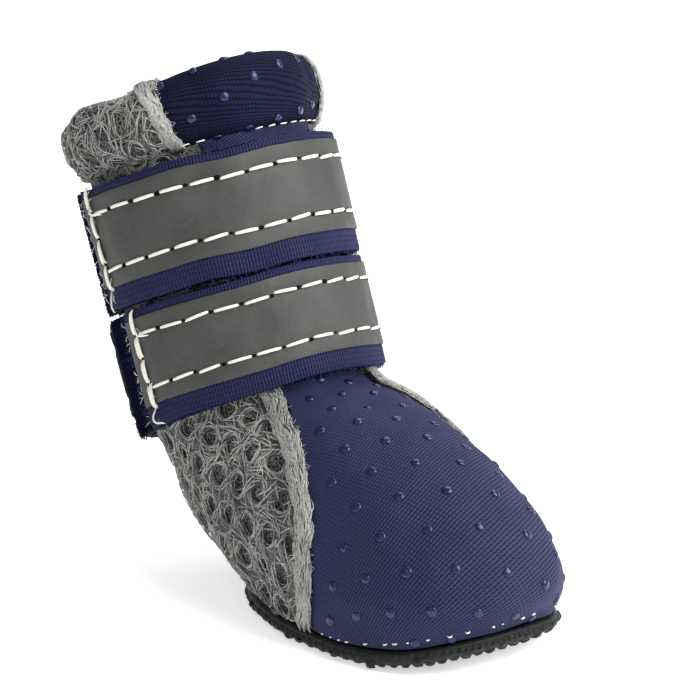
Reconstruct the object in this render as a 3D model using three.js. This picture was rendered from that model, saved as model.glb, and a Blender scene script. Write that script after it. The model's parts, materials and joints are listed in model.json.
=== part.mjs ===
// A soft dog boot: a mesh and knit upper on a thin rubber sole, with a rolled collar and two hook-and-loop
// straps round the shaft. Millimetres, +X towards the toe, +Y to the boot's left, +Z up. The origin is on the
// floor, under the middle of the sole's flat tread.
import * as THREE from 'three';

// Foot sizes
const TOE_REACH = 32.2; // furthest point of the toe, ahead of the origin
const HEEL_REACH = 49.6; // back of the ankle, behind the origin
const INSTEP_HEIGHT = 35.4; // top of the vamp where it meets the shaft
const HEEL_HEIGHT = 21.2; // floor to the back of the shaft's lower end
const BALL_WIDTH = 42; // widest part of the foot

// Shaft sizes. A station is a length along the boot, from the sole's edge up to the collar.
const SHAFT_LEAN = THREE.MathUtils.degToRad(22); // backwards, from upright
const SHAFT_DEPTH = 37.4; // front to back, outside the wall
const SHAFT_WIDTH = 35.8; // side to side, outside the wall
const SHAFT_FLARE = 1.5; // how much wider the shaft is at its hem
const SHAFT_FOOT = { x: -32.3, z: 28.2 }; // where the shaft's middle line starts
const SHAFT_START = 33.2; // station of that point
const SHAFT_HEM = 76.1; // station where the wall ends, under the collar

// Walls and gaps
const WALL = 2; // mesh and knit, with its lining
const GAP = 0.3; // between pieces that touch

// Sole sizes
const SOLE_TOE = 30; // front edge
const SOLE_HEEL = -28.3; // back edge
const SOLE_HALF_WIDTH = 20.2;
const SOLE_WIDEST = 0.555; // share of the length, from the heel
const SOLE_SQUARENESS = 2.4; // bluntness of the toe: 2 is an ellipse
const SOLE_THICKNESS = 3;
const SOLE_LIP = 0.7; // how far the sole stands out past the upper
const TOE_SPRING = { from: 13, rise: 3.4 }; // the tread lifts in front of this x
const HEEL_SPRING = { from: -24.5, rise: 1 }; // and a little behind this x
const INSOLE_THICKNESS = 1.4;

// Collar sizes: a roll of the same fabric over elastic, a little taller in front
const COLLAR = { from: SHAFT_HEM + GAP, front: 87.3, back: 84.5, inner: -3.9, outer: 2.2 };

// Strap sizes. The edges are stations at the front and the back of the shaft. Angles are round the shaft
// from its front, positive to the boot's left.
const LOOP_TAPE = { inner: GAP, outer: 1.3 };
const HOOK_STRAP = { inner: LOOP_TAPE.outer + GAP, outer: 3.1 };
const STRAPS = [
	{ name: 'lower', frontLow: 35.2, frontHigh: 53.4, backLow: 32.2, backHigh: 51.6, start: -98, tip: 230 },
	{ name: 'upper', frontLow: 54, frontHigh: 74, backLow: 53.5, backHigh: 73.5, start: -108, tip: 203 },
];
const LOOP_TAPE_PEEK = 0.15; // how far the loop tape shows past each long edge of its strap

// How finely the faces are cut
const AROUND = 48;
const STRAP_STEP = 7.5; // degrees

// One row for each section of the foot, from the sole's edge up to the ankle. Each section is an egg shape
// between a front and a back point: the x and z columns are shares of the foot sizes above, width is a share
// of the ball width, widest is where that falls from back to front, and square is how blunt the front is.
const FOOT_SECTIONS = [
	{ station: 0, frontX: 0.913, frontZ: 0.187, backX: 0.556, backZ: 0.2, width: 0.929, widest: 0.555, square: 2.4 },
	{ station: 6.5, frontX: 1, frontZ: 0.3, backX: 0.724, backZ: 0.33, width: 0.987, widest: 0.55, square: 2.3 },
	{ station: 12.2, frontX: 0.977, frontZ: 0.436, backX: 0.834, backZ: 0.46, width: 1, widest: 0.545, square: 2.15 },
	{ station: 17.3, frontX: 0.831, frontZ: 0.622, backX: 0.906, backZ: 0.605, width: 0.976, widest: 0.53, square: 2 },
	{ station: 21.5, frontX: 0.541, frontZ: 0.795, backX: 0.944, backZ: 0.73, width: 0.93, widest: 0.51, square: 1.9 },
	{ station: 25.2, frontX: 0.134, frontZ: 0.928, backX: 0.965, backZ: 0.83, width: 0.88, widest: 0.5, square: 1.9 },
	{ station: 29, frontX: -0.25, frontZ: 1, backX: 0.98, backZ: 0.9, width: 0.852, widest: 0.5, square: 2 },
];

// A shaft section is an ellipse square to the leaning middle line.
function shaftSection(station) {
	const along = station - SHAFT_START;
	const middleX = SHAFT_FOOT.x - along * Math.sin(SHAFT_LEAN);
	const middleZ = SHAFT_FOOT.z + along * Math.cos(SHAFT_LEAN);
	const flare = (SHAFT_FLARE * along) / (SHAFT_HEM - SHAFT_START);
	const reachX = ((SHAFT_DEPTH + flare) / 2) * Math.cos(SHAFT_LEAN);
	const reachZ = ((SHAFT_DEPTH + flare) / 2) * Math.sin(SHAFT_LEAN);
	return {
		station,
		frontX: middleX + reachX,
		frontZ: middleZ + reachZ,
		backX: middleX - reachX,
		backZ: middleZ - reachZ,
		halfWidth: (SHAFT_WIDTH + flare) / 2,
		widest: 0.5,
		square: 2,
	};
}

const SECTIONS = [
	...FOOT_SECTIONS.map((row) => ({
		station: row.station,
		frontX: row.frontX * TOE_REACH,
		frontZ: row.frontZ * INSTEP_HEIGHT,
		backX: -row.backX * HEEL_REACH,
		backZ: row.backZ * HEEL_HEIGHT,
		halfWidth: (row.width * BALL_WIDTH) / 2,
		widest: row.widest,
		square: row.square,
	})),
	shaftSection(SHAFT_START),
];

// The slope of a column at a row, from its neighbours.
function slopeAt(column, i) {
	const before = SECTIONS[Math.max(i - 1, 0)];
	const here = SECTIONS[i];
	const after = SECTIONS[Math.min(i + 1, SECTIONS.length - 1)];
	const stepBack = here.station - before.station;
	const stepOn = after.station - here.station;
	if (!stepBack || !stepOn) return (after[column] - before[column]) / (stepBack + stepOn);
	const slopeBack = (here[column] - before[column]) / stepBack;
	const slopeOn = (after[column] - here[column]) / stepOn;
	return (slopeBack * stepOn + slopeOn * stepBack) / (stepBack + stepOn);
}

// The section at any station: a smooth curve through the rows of the foot, and then the straight shaft.
function sectionAt(station) {
	if (station >= SHAFT_START) return shaftSection(station);
	let i = 0;
	while (i < SECTIONS.length - 2 && station > SECTIONS[i + 1].station) i++;
	const from = SECTIONS[i];
	const to = SECTIONS[i + 1];
	const step = to.station - from.station;
	const t = (station - from.station) / step;
	const t2 = t * t;
	const t3 = t2 * t;
	const curve = (column) =>
		(2 * t3 - 3 * t2 + 1) * from[column] +
		(t3 - 2 * t2 + t) * step * slopeAt(column, i) +
		(3 * t2 - 2 * t3) * to[column] +
		(t3 - t2) * step * slopeAt(column, i + 1);
	return Object.fromEntries(Object.keys(from).map((column) => [column, curve(column)]));
}

// How far the tread has lifted off the floor at x.
function spring(x) {
	const toe = Math.max(0, (x - TOE_SPRING.from) / (SOLE_TOE - TOE_SPRING.from));
	const heel = Math.max(0, (HEEL_SPRING.from - x) / (HEEL_SPRING.from - SOLE_HEEL));
	return TOE_SPRING.rise * toe * toe + HEEL_SPRING.rise * heel * heel;
}

// A point of an egg: how far it is from back (0) to front (1), and its share of the half width.
function egg(angle, widest, square) {
	const c = Math.cos(angle);
	const s = Math.sin(angle);
	const power = c > 0 ? 2 / square : 1;
	const forward = Math.abs(c) ** power;
	const along = c > 0 ? widest + (1 - widest) * forward : widest - widest * forward;
	return { along, across: Math.sign(s) * Math.abs(s) ** power };
}

// The outer surface of the upper. The lowest section bends down to sit on the sole.
const SEAT_FADE = 6.5; // station where that bend has died out
function last(angle, station) {
	const section = sectionAt(station);
	const { along, across } = egg(angle, section.widest, section.square);
	const x = THREE.MathUtils.lerp(section.backX, section.frontX, along);
	const z = THREE.MathUtils.lerp(section.backZ, section.frontZ, along);
	const seat = spring(x) + SOLE_THICKNESS + GAP;
	const edge = THREE.MathUtils.lerp(SECTIONS[0].backZ, SECTIONS[0].frontZ, along);
	const bend = 1 - THREE.MathUtils.smoothstep(station, 0, SEAT_FADE);
	return new THREE.Vector3(x, across * section.halfWidth, z + (seat - edge) * bend);
}

// A point held off the upper's surface, outwards for a positive distance.
function offLast(angle, station, distance) {
	const reach = 0.01;
	const round = last(angle + reach, station).sub(last(angle - reach, station));
	const up = last(angle, station + reach).sub(last(angle, station - reach));
	const outwards = round.cross(up).normalize();
	return last(angle, station).addScaledVector(outwards, distance);
}

// A point at a distance outside the shaft's own ellipse, which the straps and the collar follow.
function shaftPoint(angle, station, distance) {
	const section = shaftSection(station);
	const middle = new THREE.Vector3(section.frontX + section.backX, 0, section.frontZ + section.backZ).divideScalar(2);
	const forwards = new THREE.Vector3(Math.cos(SHAFT_LEAN), 0, Math.sin(SHAFT_LEAN));
	const halfDepth = (section.frontX - section.backX) / 2 / Math.cos(SHAFT_LEAN);
	const point = middle.addScaledVector(forwards, (halfDepth + distance) * Math.cos(angle));
	point.y = (section.halfWidth + distance) * Math.sin(angle);
	return point;
}

// A closed solid over a row of loops. A ring joins its last loop to its first; any other row is capped.
function sweep(loops, isRing) {
	const size = loops[0].length;
	const points = loops.flat();
	const triangles = [];
	const joins = isRing ? loops.length : loops.length - 1;
	for (let i = 0; i < joins; i++) {
		const here = i * size;
		const next = ((i + 1) % loops.length) * size;
		for (let k = 0; k < size; k++) {
			const k2 = (k + 1) % size;
			triangles.push([here + k, next + k, next + k2], [here + k, next + k2, here + k2]);
		}
	}
	if (!isRing) {
		const lastStart = (loops.length - 1) * size;
		const firstMiddle = points.push(middleOf(loops[0])) - 1;
		const lastMiddle = points.push(middleOf(loops[loops.length - 1])) - 1;
		for (let k = 0; k < size; k++) {
			const k2 = (k + 1) % size;
			triangles.push([firstMiddle, k, k2], [lastMiddle, lastStart + k2, lastStart + k]);
		}
	}
	if (volumeOf(points, triangles) < 0) triangles.forEach((corners) => corners.reverse());
	const geometry = new THREE.BufferGeometry().setFromPoints(points);
	geometry.setIndex(triangles.flat());
	geometry.computeVertexNormals();
	return geometry;
}

function middleOf(loop) {
	const sum = loop.reduce((total, point) => total.add(point), new THREE.Vector3());
	return sum.divideScalar(loop.length);
}

function volumeOf(points, triangles) {
	let six = 0;
	for (const [a, b, c] of triangles) {
		six += points[a].dot(new THREE.Vector3().crossVectors(points[b], points[c]));
	}
	return six / 6;
}

function angles(count) {
	return Array.from({ length: count }, (_, i) => (2 * Math.PI * i) / count);
}

// Upper: one wall from the sole's edge to the hem, open at the top and underneath.
const UPPER_STATIONS = [
	0, 2.3, 4.7, 7.5, 10.3, 13, 16, 18.7, 21, 23.5, 26, 28.5, 31, SHAFT_START, 38, 46, 53, 61, 69, SHAFT_HEM,
];
function upperGeometry() {
	const loops = angles(AROUND).map((angle) => {
		const outside = UPPER_STATIONS.map((station) => last(angle, station));
		const inside = UPPER_STATIONS.map((station) => offLast(angle, station, -WALL));
		inside[0].z = spring(inside[0].x) + SOLE_THICKNESS + GAP;
		return [...outside, ...inside.reverse()];
	});
	return sweep(loops, true);
}

// Sole outline, taken in by a distance, and a loop of it lifted off the tread.
function soleLoop(inset, height) {
	const front = SOLE_TOE - inset;
	const back = SOLE_HEEL + inset;
	return angles(AROUND).map((angle) => {
		const { along, across } = egg(angle, SOLE_WIDEST, SOLE_SQUARENESS);
		const x = THREE.MathUtils.lerp(back, front, along);
		return new THREE.Vector3(x, across * (SOLE_HALF_WIDTH - inset), spring(x) + height);
	});
}

// Sole: flat underneath from heel to ball, with a rounded edge that shows under the upper.
const INSOLE_EDGE = SOLE_LIP + WALL + 2 * GAP;
const INNER_RINGS = [INSOLE_EDGE, 5, 7, 9.5, 12.5, 16]; // insets of the rings over the middle of the sole
const SOLE_EDGE = [
	{ inset: 1.8, height: 0 },
	{ inset: 0.4, height: 0.6 },
	{ inset: 0, height: 1.6 },
	{ inset: 0.25, height: 2.6 },
	{ inset: 0.8, height: SOLE_THICKNESS },
	{ inset: 1.8, height: SOLE_THICKNESS },
];
function soleGeometry() {
	const under = INNER_RINGS.map((inset) => soleLoop(inset, 0)).reverse();
	const edge = SOLE_EDGE.map(({ inset, height }) => soleLoop(inset, height));
	const top = INNER_RINGS.map((inset) => soleLoop(inset, SOLE_THICKNESS));
	return sweep([...under, ...edge, ...top], false);
}

// Insole: a thin pad on the sole, inside the upper's wall.
function insoleGeometry() {
	const low = SOLE_THICKNESS + GAP;
	const under = INNER_RINGS.map((inset) => soleLoop(inset, low)).reverse();
	const top = INNER_RINGS.map((inset) => soleLoop(inset, low + INSOLE_THICKNESS));
	return sweep([...under, ...top], false);
}

// Collar: a fat roll round the mouth, standing on the hem.
const COLLAR_CORNERS = 14;
const COLLAR_SQUARENESS = 2.6;
function collarGeometry() {
	const loops = angles(AROUND).map((angle) => {
		const top = THREE.MathUtils.lerp(COLLAR.back, COLLAR.front, (1 + Math.cos(angle)) / 2);
		const middle = (COLLAR.from + top) / 2;
		const thickness = (COLLAR.inner + COLLAR.outer) / 2;
		return angles(COLLAR_CORNERS).map((turn) => {
			const power = 2 / COLLAR_SQUARENESS;
			const outwards = Math.sign(Math.cos(turn)) * Math.abs(Math.cos(turn)) ** power;
			const upwards = Math.sign(Math.sin(turn)) * Math.abs(Math.sin(turn)) ** power;
			const station = middle + (upwards * (top - COLLAR.from)) / 2;
			return shaftPoint(angle, station, thickness + (outwards * (COLLAR.outer - COLLAR.inner)) / 2);
		});
	});
	return sweep(loops, true);
}

// The cross-section of a strap or tape where it passes an angle, reaching past its two edges by peek.
const BAND_SHARES = [0, 0.12, 0.3, 0.6, 1]; // places across its width, from the lower edge
function bandSection(angle, strap, { inner, outer }, peek = 0) {
	const frontness = (1 + Math.cos(angle)) / 2;
	const low = THREE.MathUtils.lerp(strap.backLow, strap.frontLow, frontness) - peek;
	const high = THREE.MathUtils.lerp(strap.backHigh, strap.frontHigh, frontness) + peek;
	const stations = BAND_SHARES.map((share) => THREE.MathUtils.lerp(low, high, share));
	const outside = stations.map((station) => shaftPoint(angle, station, outer));
	const inside = stations.map((station) => shaftPoint(angle, station, inner));
	return [...outside, ...inside.reverse()];
}

// Loop tape: sewn to the shaft all the way round, under its strap.
function loopTapeGeometry(strap) {
	return sweep(angles(AROUND).map((angle) => bandSection(angle, strap, LOOP_TAPE, LOOP_TAPE_PEEK)), true);
}

// Hook strap: sewn down at its start, then round the front, the left side and the back to its free tip.
function hookStrapGeometry(strap) {
	const steps = Math.round((strap.tip - strap.start) / STRAP_STEP);
	const loops = Array.from({ length: steps + 1 }, (_, i) => {
		const degrees = THREE.MathUtils.lerp(strap.start, strap.tip, i / steps);
		return bandSection(THREE.MathUtils.degToRad(degrees), strap, HOOK_STRAP);
	});
	return sweep(loops, false);
}

const FABRIC = { roughness: 0.9, metalness: 0 };
const airMesh = new THREE.MeshStandardMaterial({ color: 0x9b9b99, ...FABRIC });
const navyKnit = new THREE.MeshStandardMaterial({ color: 0x1d2550, ...FABRIC });
const navyTape = new THREE.MeshStandardMaterial({ color: 0x232463, ...FABRIC });
const blackRubber = new THREE.MeshStandardMaterial({ color: 0x1c1c1c, roughness: 0.7, metalness: 0 });
const greyFoam = new THREE.MeshStandardMaterial({ color: 0x4a4a4c, ...FABRIC });

const boot = new THREE.Group();

function addPiece(name, geometry, material) {
	const mesh = new THREE.Mesh(geometry, material);
	mesh.name = name;
	boot.add(mesh);
}

addPiece('sole', soleGeometry(), blackRubber);
addPiece('insole', insoleGeometry(), greyFoam);
addPiece('upper', upperGeometry(), airMesh);
addPiece('collar', collarGeometry(), navyKnit);
for (const strap of STRAPS) {
	addPiece(`loop_tape_${strap.name}`, loopTapeGeometry(strap), navyTape);
	addPiece(`hook_strap_${strap.name}`, hookStrapGeometry(strap), navyTape);
}

export default boot;
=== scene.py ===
import json
import math
import random

import bmesh
import bpy
import numpy as np
from mathutils import Matrix, Vector
from mathutils.bvhtree import BVHTree

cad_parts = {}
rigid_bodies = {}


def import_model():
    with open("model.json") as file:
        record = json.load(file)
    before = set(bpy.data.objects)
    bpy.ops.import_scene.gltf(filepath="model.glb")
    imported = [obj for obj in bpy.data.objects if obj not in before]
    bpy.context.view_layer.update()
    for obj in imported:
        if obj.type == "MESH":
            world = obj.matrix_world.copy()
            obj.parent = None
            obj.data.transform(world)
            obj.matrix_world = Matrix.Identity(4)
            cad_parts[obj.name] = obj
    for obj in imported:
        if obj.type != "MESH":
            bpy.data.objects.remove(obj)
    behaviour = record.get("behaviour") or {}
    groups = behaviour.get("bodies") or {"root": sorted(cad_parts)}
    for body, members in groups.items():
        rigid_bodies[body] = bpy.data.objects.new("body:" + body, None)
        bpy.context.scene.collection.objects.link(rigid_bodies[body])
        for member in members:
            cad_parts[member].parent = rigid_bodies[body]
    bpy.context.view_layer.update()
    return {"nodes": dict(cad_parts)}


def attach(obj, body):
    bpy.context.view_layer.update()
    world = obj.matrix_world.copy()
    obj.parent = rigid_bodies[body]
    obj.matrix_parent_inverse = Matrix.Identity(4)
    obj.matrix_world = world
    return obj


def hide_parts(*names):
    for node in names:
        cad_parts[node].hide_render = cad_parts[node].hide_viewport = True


# The looks of a soft dog boot. Metres, +X towards the toe, +Y to the boot's left, +Z up, as in the frame.
# Most cloth is made flat, at its real size, and then wound round the shaft or laid on the foot.

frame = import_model()

MM = 0.001

# ---------------------------------------------------------------- sizes, shared with the frame
SHAFT_LEAN = math.radians(22)
UP_SHAFT = Vector((-math.sin(SHAFT_LEAN), 0, math.cos(SHAFT_LEAN)))
SHAFT_FOOT = Vector((-32.3, 0, 28.2)) * MM
SHAFT_START = 33.2 * MM
SHAFT_HEM = 76.1 * MM
SHAFT_HALF_DEPTH = 18.7 * MM
SHAFT_HALF_WIDTH = 17.9 * MM
SHAFT_HALF_FLARE = 0.75 * MM
ROUND = SHAFT_HALF_DEPTH + 3 * MM  # the one radius used to draw every strip flat

STRAPS = {
    "lower": dict(front=(35.2, 53.4), back=(32.2, 51.6), start=-98, tip=230, seed=3),
    "upper": dict(front=(54.0, 74.0), back=(53.5, 73.5), start=-108, tip=203, seed=8),
}
STRAP_WIDTH = 20 * MM
STRAP_THICK = 1.35 * MM
STRAP_BASE = 1.65 * MM  # from the shaft's wall to the underside of the strap
TAPE_WIDTH = 15 * MM
TAPE_DROP = 1.4 * MM  # from the strap's upper edge to the grey tape
TAPE_THICK = 0.3 * MM
TAPE_BASE = 3.02 * MM
VELVET_THICK = 0.9 * MM
VELVET_BASE = 0.35 * MM
VELVET_PEEK = 0.15 * MM  # how far the velvet shows past each long edge of its strap
STITCH_LONG = 4.3 * MM
STITCH_PITCH = 5.0 * MM
THREAD_RADIUS = 0.28 * MM
TAPE_TOP = STRAP_WIDTH - TAPE_DROP
TAPE_LOW = TAPE_TOP - TAPE_WIDTH
ROWS = (TAPE_TOP - 2.9 * MM, TAPE_LOW + 2.9 * MM)  # the two long rows of stitches
SIDES = (("right", -1), ("left", 1))

# Where the knit gives way to the mesh: height and x on the foot, then station and degrees from the front on
# the shaft. All lengths are in millimetres.
SEAM_FOOT = [
    (2, 3.8), (9, 4.4), (15, 4.4), (21, 2.6), (26, -1.0), (30, -5.8), (32.6, -11), (34, -15.5), (35.5, -30),
]
SEAM_SHAFT = [(33.2, 30), (60, 34), (76.1, 38), (82, 44), (88, 51)]

HOLE_PITCH = (5.5 * MM, 5.6 * MM)
HOLE_LEAN = 0.3
DOT_PITCH = 6.2 * MM

# ---------------------------------------------------------------- working in edit mode


def only(piece):
    """Makes a piece the one selected and active object."""
    if bpy.context.object and bpy.context.object.mode != "OBJECT":
        bpy.ops.object.mode_set(mode="OBJECT")
    bpy.ops.object.select_all(action="DESELECT")
    piece.select_set(True)
    bpy.context.view_layer.objects.active = piece


def edit(piece, kind="FACE"):
    only(piece)
    bpy.ops.object.mode_set(mode="EDIT")
    bpy.ops.mesh.select_mode(type=kind)
    bpy.ops.mesh.select_all(action="SELECT")


def leave_edit():
    bpy.ops.object.mode_set(mode="OBJECT")


def pick_faces(test):
    """Selects the faces of the mesh being edited whose middle and normal pass the test."""
    mesh = bmesh.from_edit_mesh(bpy.context.edit_object.data)
    for face in mesh.faces:
        face.select_set(bool(test(face.calc_center_median(), face.normal)))
    bmesh.update_edit_mesh(bpy.context.edit_object.data)


def named(name):
    piece = bpy.context.object
    piece.name = name
    piece.data.name = name
    return piece


def finish_with(piece, kind, **settings):
    """Adds a modifier with its settings and applies it."""
    only(piece)
    modifier = piece.modifiers.new(kind.title(), kind)
    for key, value in settings.items():
        setattr(modifier, key, value)
    bpy.ops.object.modifier_apply(modifier=modifier.name)


def refine(piece, levels):
    finish_with(piece, "SUBSURF", levels=levels, render_levels=levels)


def smooth(piece, degrees=60):
    only(piece)
    bpy.ops.object.shade_smooth_by_angle(angle=math.radians(degrees))


def copy_of(piece, name):
    only(piece)
    bpy.ops.object.duplicate()
    bpy.ops.object.parent_clear(type="CLEAR_KEEP_TRANSFORM")
    return named(name)


def copy_node(node, name):
    """A copy of a CAD node as one merged mesh of quads."""
    piece = copy_of(frame["nodes"][node], name)
    piece.data.materials.clear()
    edit(piece)
    bpy.ops.mesh.remove_doubles(threshold=0.01 * MM)
    bpy.ops.mesh.tris_convert_to_quads()
    leave_edit()
    return piece


def positions(piece):
    flat = np.empty(len(piece.data.vertices) * 3)
    piece.data.vertices.foreach_get("co", flat)
    return flat.reshape(-1, 3)


def normals(piece):
    flat = np.empty(len(piece.data.vertices) * 3)
    piece.data.vertices.foreach_get("normal", flat)
    return flat.reshape(-1, 3)


def corner_vertices(mesh):
    """The vertex at each corner of each face."""
    corners = np.empty(len(mesh.loops), dtype=int)
    mesh.loops.foreach_get("vertex_index", corners)
    return corners


def new_piece(name, places, faces):
    mesh = bpy.data.meshes.new(name)
    mesh.from_pydata(np.asarray(places).tolist(), [], faces)
    piece = bpy.data.objects.new(name, mesh)
    bpy.context.scene.collection.objects.link(piece)
    return piece


def face_outwards(piece):
    edit(piece)
    bpy.ops.mesh.normals_make_consistent(inside=False)
    leave_edit()


def move_to(piece, places):
    piece.data.vertices.foreach_set("co", np.asarray(places, dtype=float).ravel())
    piece.data.update()


# ---------------------------------------------------------------- the shaft's own shape


def shaft_half(station):
    """Half the depth and half the width of the shaft at a station."""
    flare = SHAFT_HALF_FLARE * (station - SHAFT_START) / (SHAFT_HEM - SHAFT_START)
    return SHAFT_HALF_DEPTH + flare, SHAFT_HALF_WIDTH + flare


def on_shaft(angle, station, off):
    """Places at angles round the shaft, stations along it, and distances off its wall, as arrays."""
    depth, width = shaft_half(station)
    ahead = (depth + off) * np.cos(angle)
    along = station - SHAFT_START
    c = math.cos(SHAFT_LEAN)
    s = math.sin(SHAFT_LEAN)
    x = SHAFT_FOOT.x + ahead * c - along * s
    y = (width + off) * np.sin(angle)
    z = SHAFT_FOOT.z + ahead * s + along * c
    return np.stack([x, y, z], axis=-1)


def shaft_coordinates(places):
    """The opposite of on_shaft: angle, station and distance off the wall of each place."""
    c = math.cos(SHAFT_LEAN)
    s = math.sin(SHAFT_LEAN)
    dx = places[:, 0] - SHAFT_FOOT.x
    dz = places[:, 2] - SHAFT_FOOT.z
    ahead = dx * c + dz * s
    station = SHAFT_START - dx * s + dz * c
    depth, width = shaft_half(station)
    angle = np.arctan2(places[:, 1] / width, ahead / depth)
    radius = np.hypot(ahead, places[:, 1])
    wall = np.hypot(depth * np.cos(angle), width * np.sin(angle))
    return angle, station, radius - wall


def wind(piece, strap):
    """Winds a flat strip round the shaft. X is the length from the front, towards the boot's left, Y is
    the distance from the lower edge, and Z is the height off the shaft's wall."""
    flat = positions(piece)
    angle = flat[:, 0] / ROUND
    frontness = (1 + np.cos(angle)) / 2
    low = np.interp(frontness, [0, 1], [strap["back"][0], strap["front"][0]]) * MM
    high = np.interp(frontness, [0, 1], [strap["back"][1], strap["front"][1]]) * MM
    station = low + (high - low) * flat[:, 1] / STRAP_WIDTH
    move_to(piece, on_shaft(angle, station, flat[:, 2]))


def pattern_map(piece, places):
    """Keeps two columns of places, in metres, as the UV map that the cloth's pattern follows."""
    layer = piece.data.uv_layers.get("pattern") or piece.data.uv_layers.new(name="pattern")
    layer.data.foreach_set("uv", np.asarray(places)[corner_vertices(piece.data), :2].ravel())
    piece.data.uv_layers.active = layer


# ---------------------------------------------------------------- the skin of the upper, and its panels


def seam_gap(places):
    """How far each place on the upper is in front of the seam between knit and mesh."""
    angle, station, _ = shaft_coordinates(places)
    heights, edge = zip(*SEAM_FOOT)
    foot = places[:, 0] - np.interp(places[:, 2], np.array(heights) * MM, np.array(edge) * MM)
    stations, degrees = zip(*SEAM_SHAFT)
    seam = np.radians(np.interp(station, np.array(stations) * MM, degrees))
    shaft = (seam - np.abs(angle)) * SHAFT_HALF_DEPTH
    return np.where(station > SHAFT_START + 0.4 * MM, shaft, foot)


def split_upper():
    """The outer skin and the lining, from a copy of the upper's wall."""
    skin = copy_node("upper", "skin")
    wall = BVHTree.FromObject(skin, bpy.context.evaluated_depsgraph_get())
    sole = BVHTree.FromObject(frame["nodes"]["sole"], bpy.context.evaluated_depsgraph_get())

    def is_edge(middle, normal):
        on_sole = sole.find_nearest(middle)[3] < 0.5 * MM
        return on_sole or (normal.dot(UP_SHAFT) > 0.95 and middle.z > 60 * MM)

    def is_inside(middle, normal):
        return wall.ray_cast(middle + normal * 0.1 * MM, normal)[0] is not None

    edit(skin)
    pick_faces(is_edge)
    bpy.ops.mesh.delete(type="FACE")
    pick_faces(is_inside)
    bpy.ops.mesh.separate(type="SELECTED")
    leave_edit()
    lining = [piece for piece in bpy.context.selected_objects if piece is not skin][0]
    lining.name = "lining"
    refine(skin, 1)
    return skin, lining


def trim(piece, keep):
    """Deletes the faces whose middles the keep test turns down."""
    edit(piece)
    mesh = bmesh.from_edit_mesh(piece.data)
    middles = np.array([face.calc_center_median() for face in mesh.faces])
    for face, kept in zip(mesh.faces, keep(middles)):
        face.select_set(not kept)
    bmesh.update_edit_mesh(piece.data)
    bpy.ops.mesh.delete(type="FACE")
    leave_edit()


def drop_crumbs(piece, least=140):
    """Deletes the scraps of fewer faces than the least number that a cut leaves beside a panel."""
    edit(piece)
    mesh = bmesh.from_edit_mesh(piece.data)
    waiting = set(mesh.faces)
    while waiting:
        scrap = [waiting.pop()]
        for face in scrap:
            near = {other for edge in face.edges for other in edge.link_faces} & waiting
            waiting -= near
            scrap.extend(near)
        for face in scrap:
            face.select_set(len(scrap) < least)
    bmesh.update_edit_mesh(piece.data)
    bpy.ops.mesh.delete(type="FACE")
    leave_edit()


def flat_places(mesh, layer):
    """The place of each vertex on the flat pattern that a UV map holds."""
    uv = np.empty(len(mesh.loops) * 2)
    layer.data.foreach_get("uv", uv)
    flat = np.zeros((len(mesh.vertices), 2))
    flat[corner_vertices(mesh)] = uv.reshape(-1, 2)
    return flat


def flatten(piece, middle):
    """Unwraps a panel to its flat pattern, at full size, upright and centred on the place named middle."""
    edit(piece)
    bpy.ops.uv.unwrap(method="ANGLE_BASED", margin=0)
    leave_edit()
    mesh = piece.data
    flat = flat_places(mesh, mesh.uv_layers.active)
    places = positions(piece)
    edges = np.array([edge.vertices[:] for edge in mesh.edges])
    real = np.linalg.norm(places[edges[:, 0]] - places[edges[:, 1]], axis=1)
    drawn = np.linalg.norm(flat[edges[:, 0]] - flat[edges[:, 1]], axis=1)
    flat *= real.sum() / drawn.sum()
    near = np.argsort(np.linalg.norm(places - np.array(middle), axis=1))[:40]
    flat -= flat[near[0]]
    slope = np.linalg.lstsq(np.c_[flat[near], np.ones(len(near))], places[near, 2], rcond=None)[0][:2]
    turn = math.pi / 2 - math.atan2(slope[1], slope[0])
    c, s = math.cos(turn), math.sin(turn)
    flat = flat @ np.array([[c, s], [-s, c]])
    while mesh.uv_layers:
        mesh.uv_layers.remove(mesh.uv_layers[0])
    pattern_map(piece, flat)


def make_panel(skin, name, gap, middle):
    """A panel of the upper: cut out with some to spare, flattened, refined and trimmed to its seam."""
    panel = copy_of(skin, name)
    trim(panel, lambda places: gap(places) > -2.5 * MM)
    flatten(panel, middle)
    refine(panel, 2)
    trim(panel, lambda places: gap(places) > 0)
    return panel


class Cloth:
    """A formed panel with its flat pattern, so that small things made flat can be laid on it."""

    def __init__(self, panel):
        mesh = panel.data
        mesh.calc_loop_triangles()
        self.corners = [tuple(triangle.vertices) for triangle in mesh.loop_triangles]
        self.flat = flat_places(mesh, mesh.uv_layers["pattern"])
        self.places = positions(panel).copy()
        self.normals = normals(panel).copy()
        points = [Vector((u, v, 0)) for u, v in self.flat]
        self.tree = BVHTree.FromPolygons(points, self.corners)

    def at(self, u, v, height=0.0, reach=0.4 * MM):
        """The place on the panel over a spot of its pattern, or None past its edge."""
        spot, _, index, distance = self.tree.find_nearest(Vector((u, v, 0)))
        if spot is None or distance > reach:
            return None
        a, b, c = self.corners[index]
        weights = barycentric(spot.xy, self.flat[a], self.flat[b], self.flat[c])
        place = weights @ self.places[[a, b, c]]
        normal = weights @ self.normals[[a, b, c]]
        return place + normal / np.linalg.norm(normal) * height

    def lay(self, piece, reach=3 * MM):
        """Lays a piece that was made flat on the panel. Its Z is the height off the cloth."""
        places = [self.at(u, v, height, reach) for u, v, height in positions(piece)]
        move_to(piece, np.array(places))


def barycentric(p, a, b, c):
    ab, ac, ap = b - a, c - a, np.array(p) - a
    area = ab[0] * ac[1] - ab[1] * ac[0]
    if abs(area) < 1e-16:
        return np.array([1.0, 0, 0])
    wb = (ap[0] * ac[1] - ap[1] * ac[0]) / area
    wc = (ab[0] * ap[1] - ab[1] * ap[0]) / area
    return np.array([1 - wb - wc, wb, wc])


# ---------------------------------------------------------------- making many from one


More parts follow.
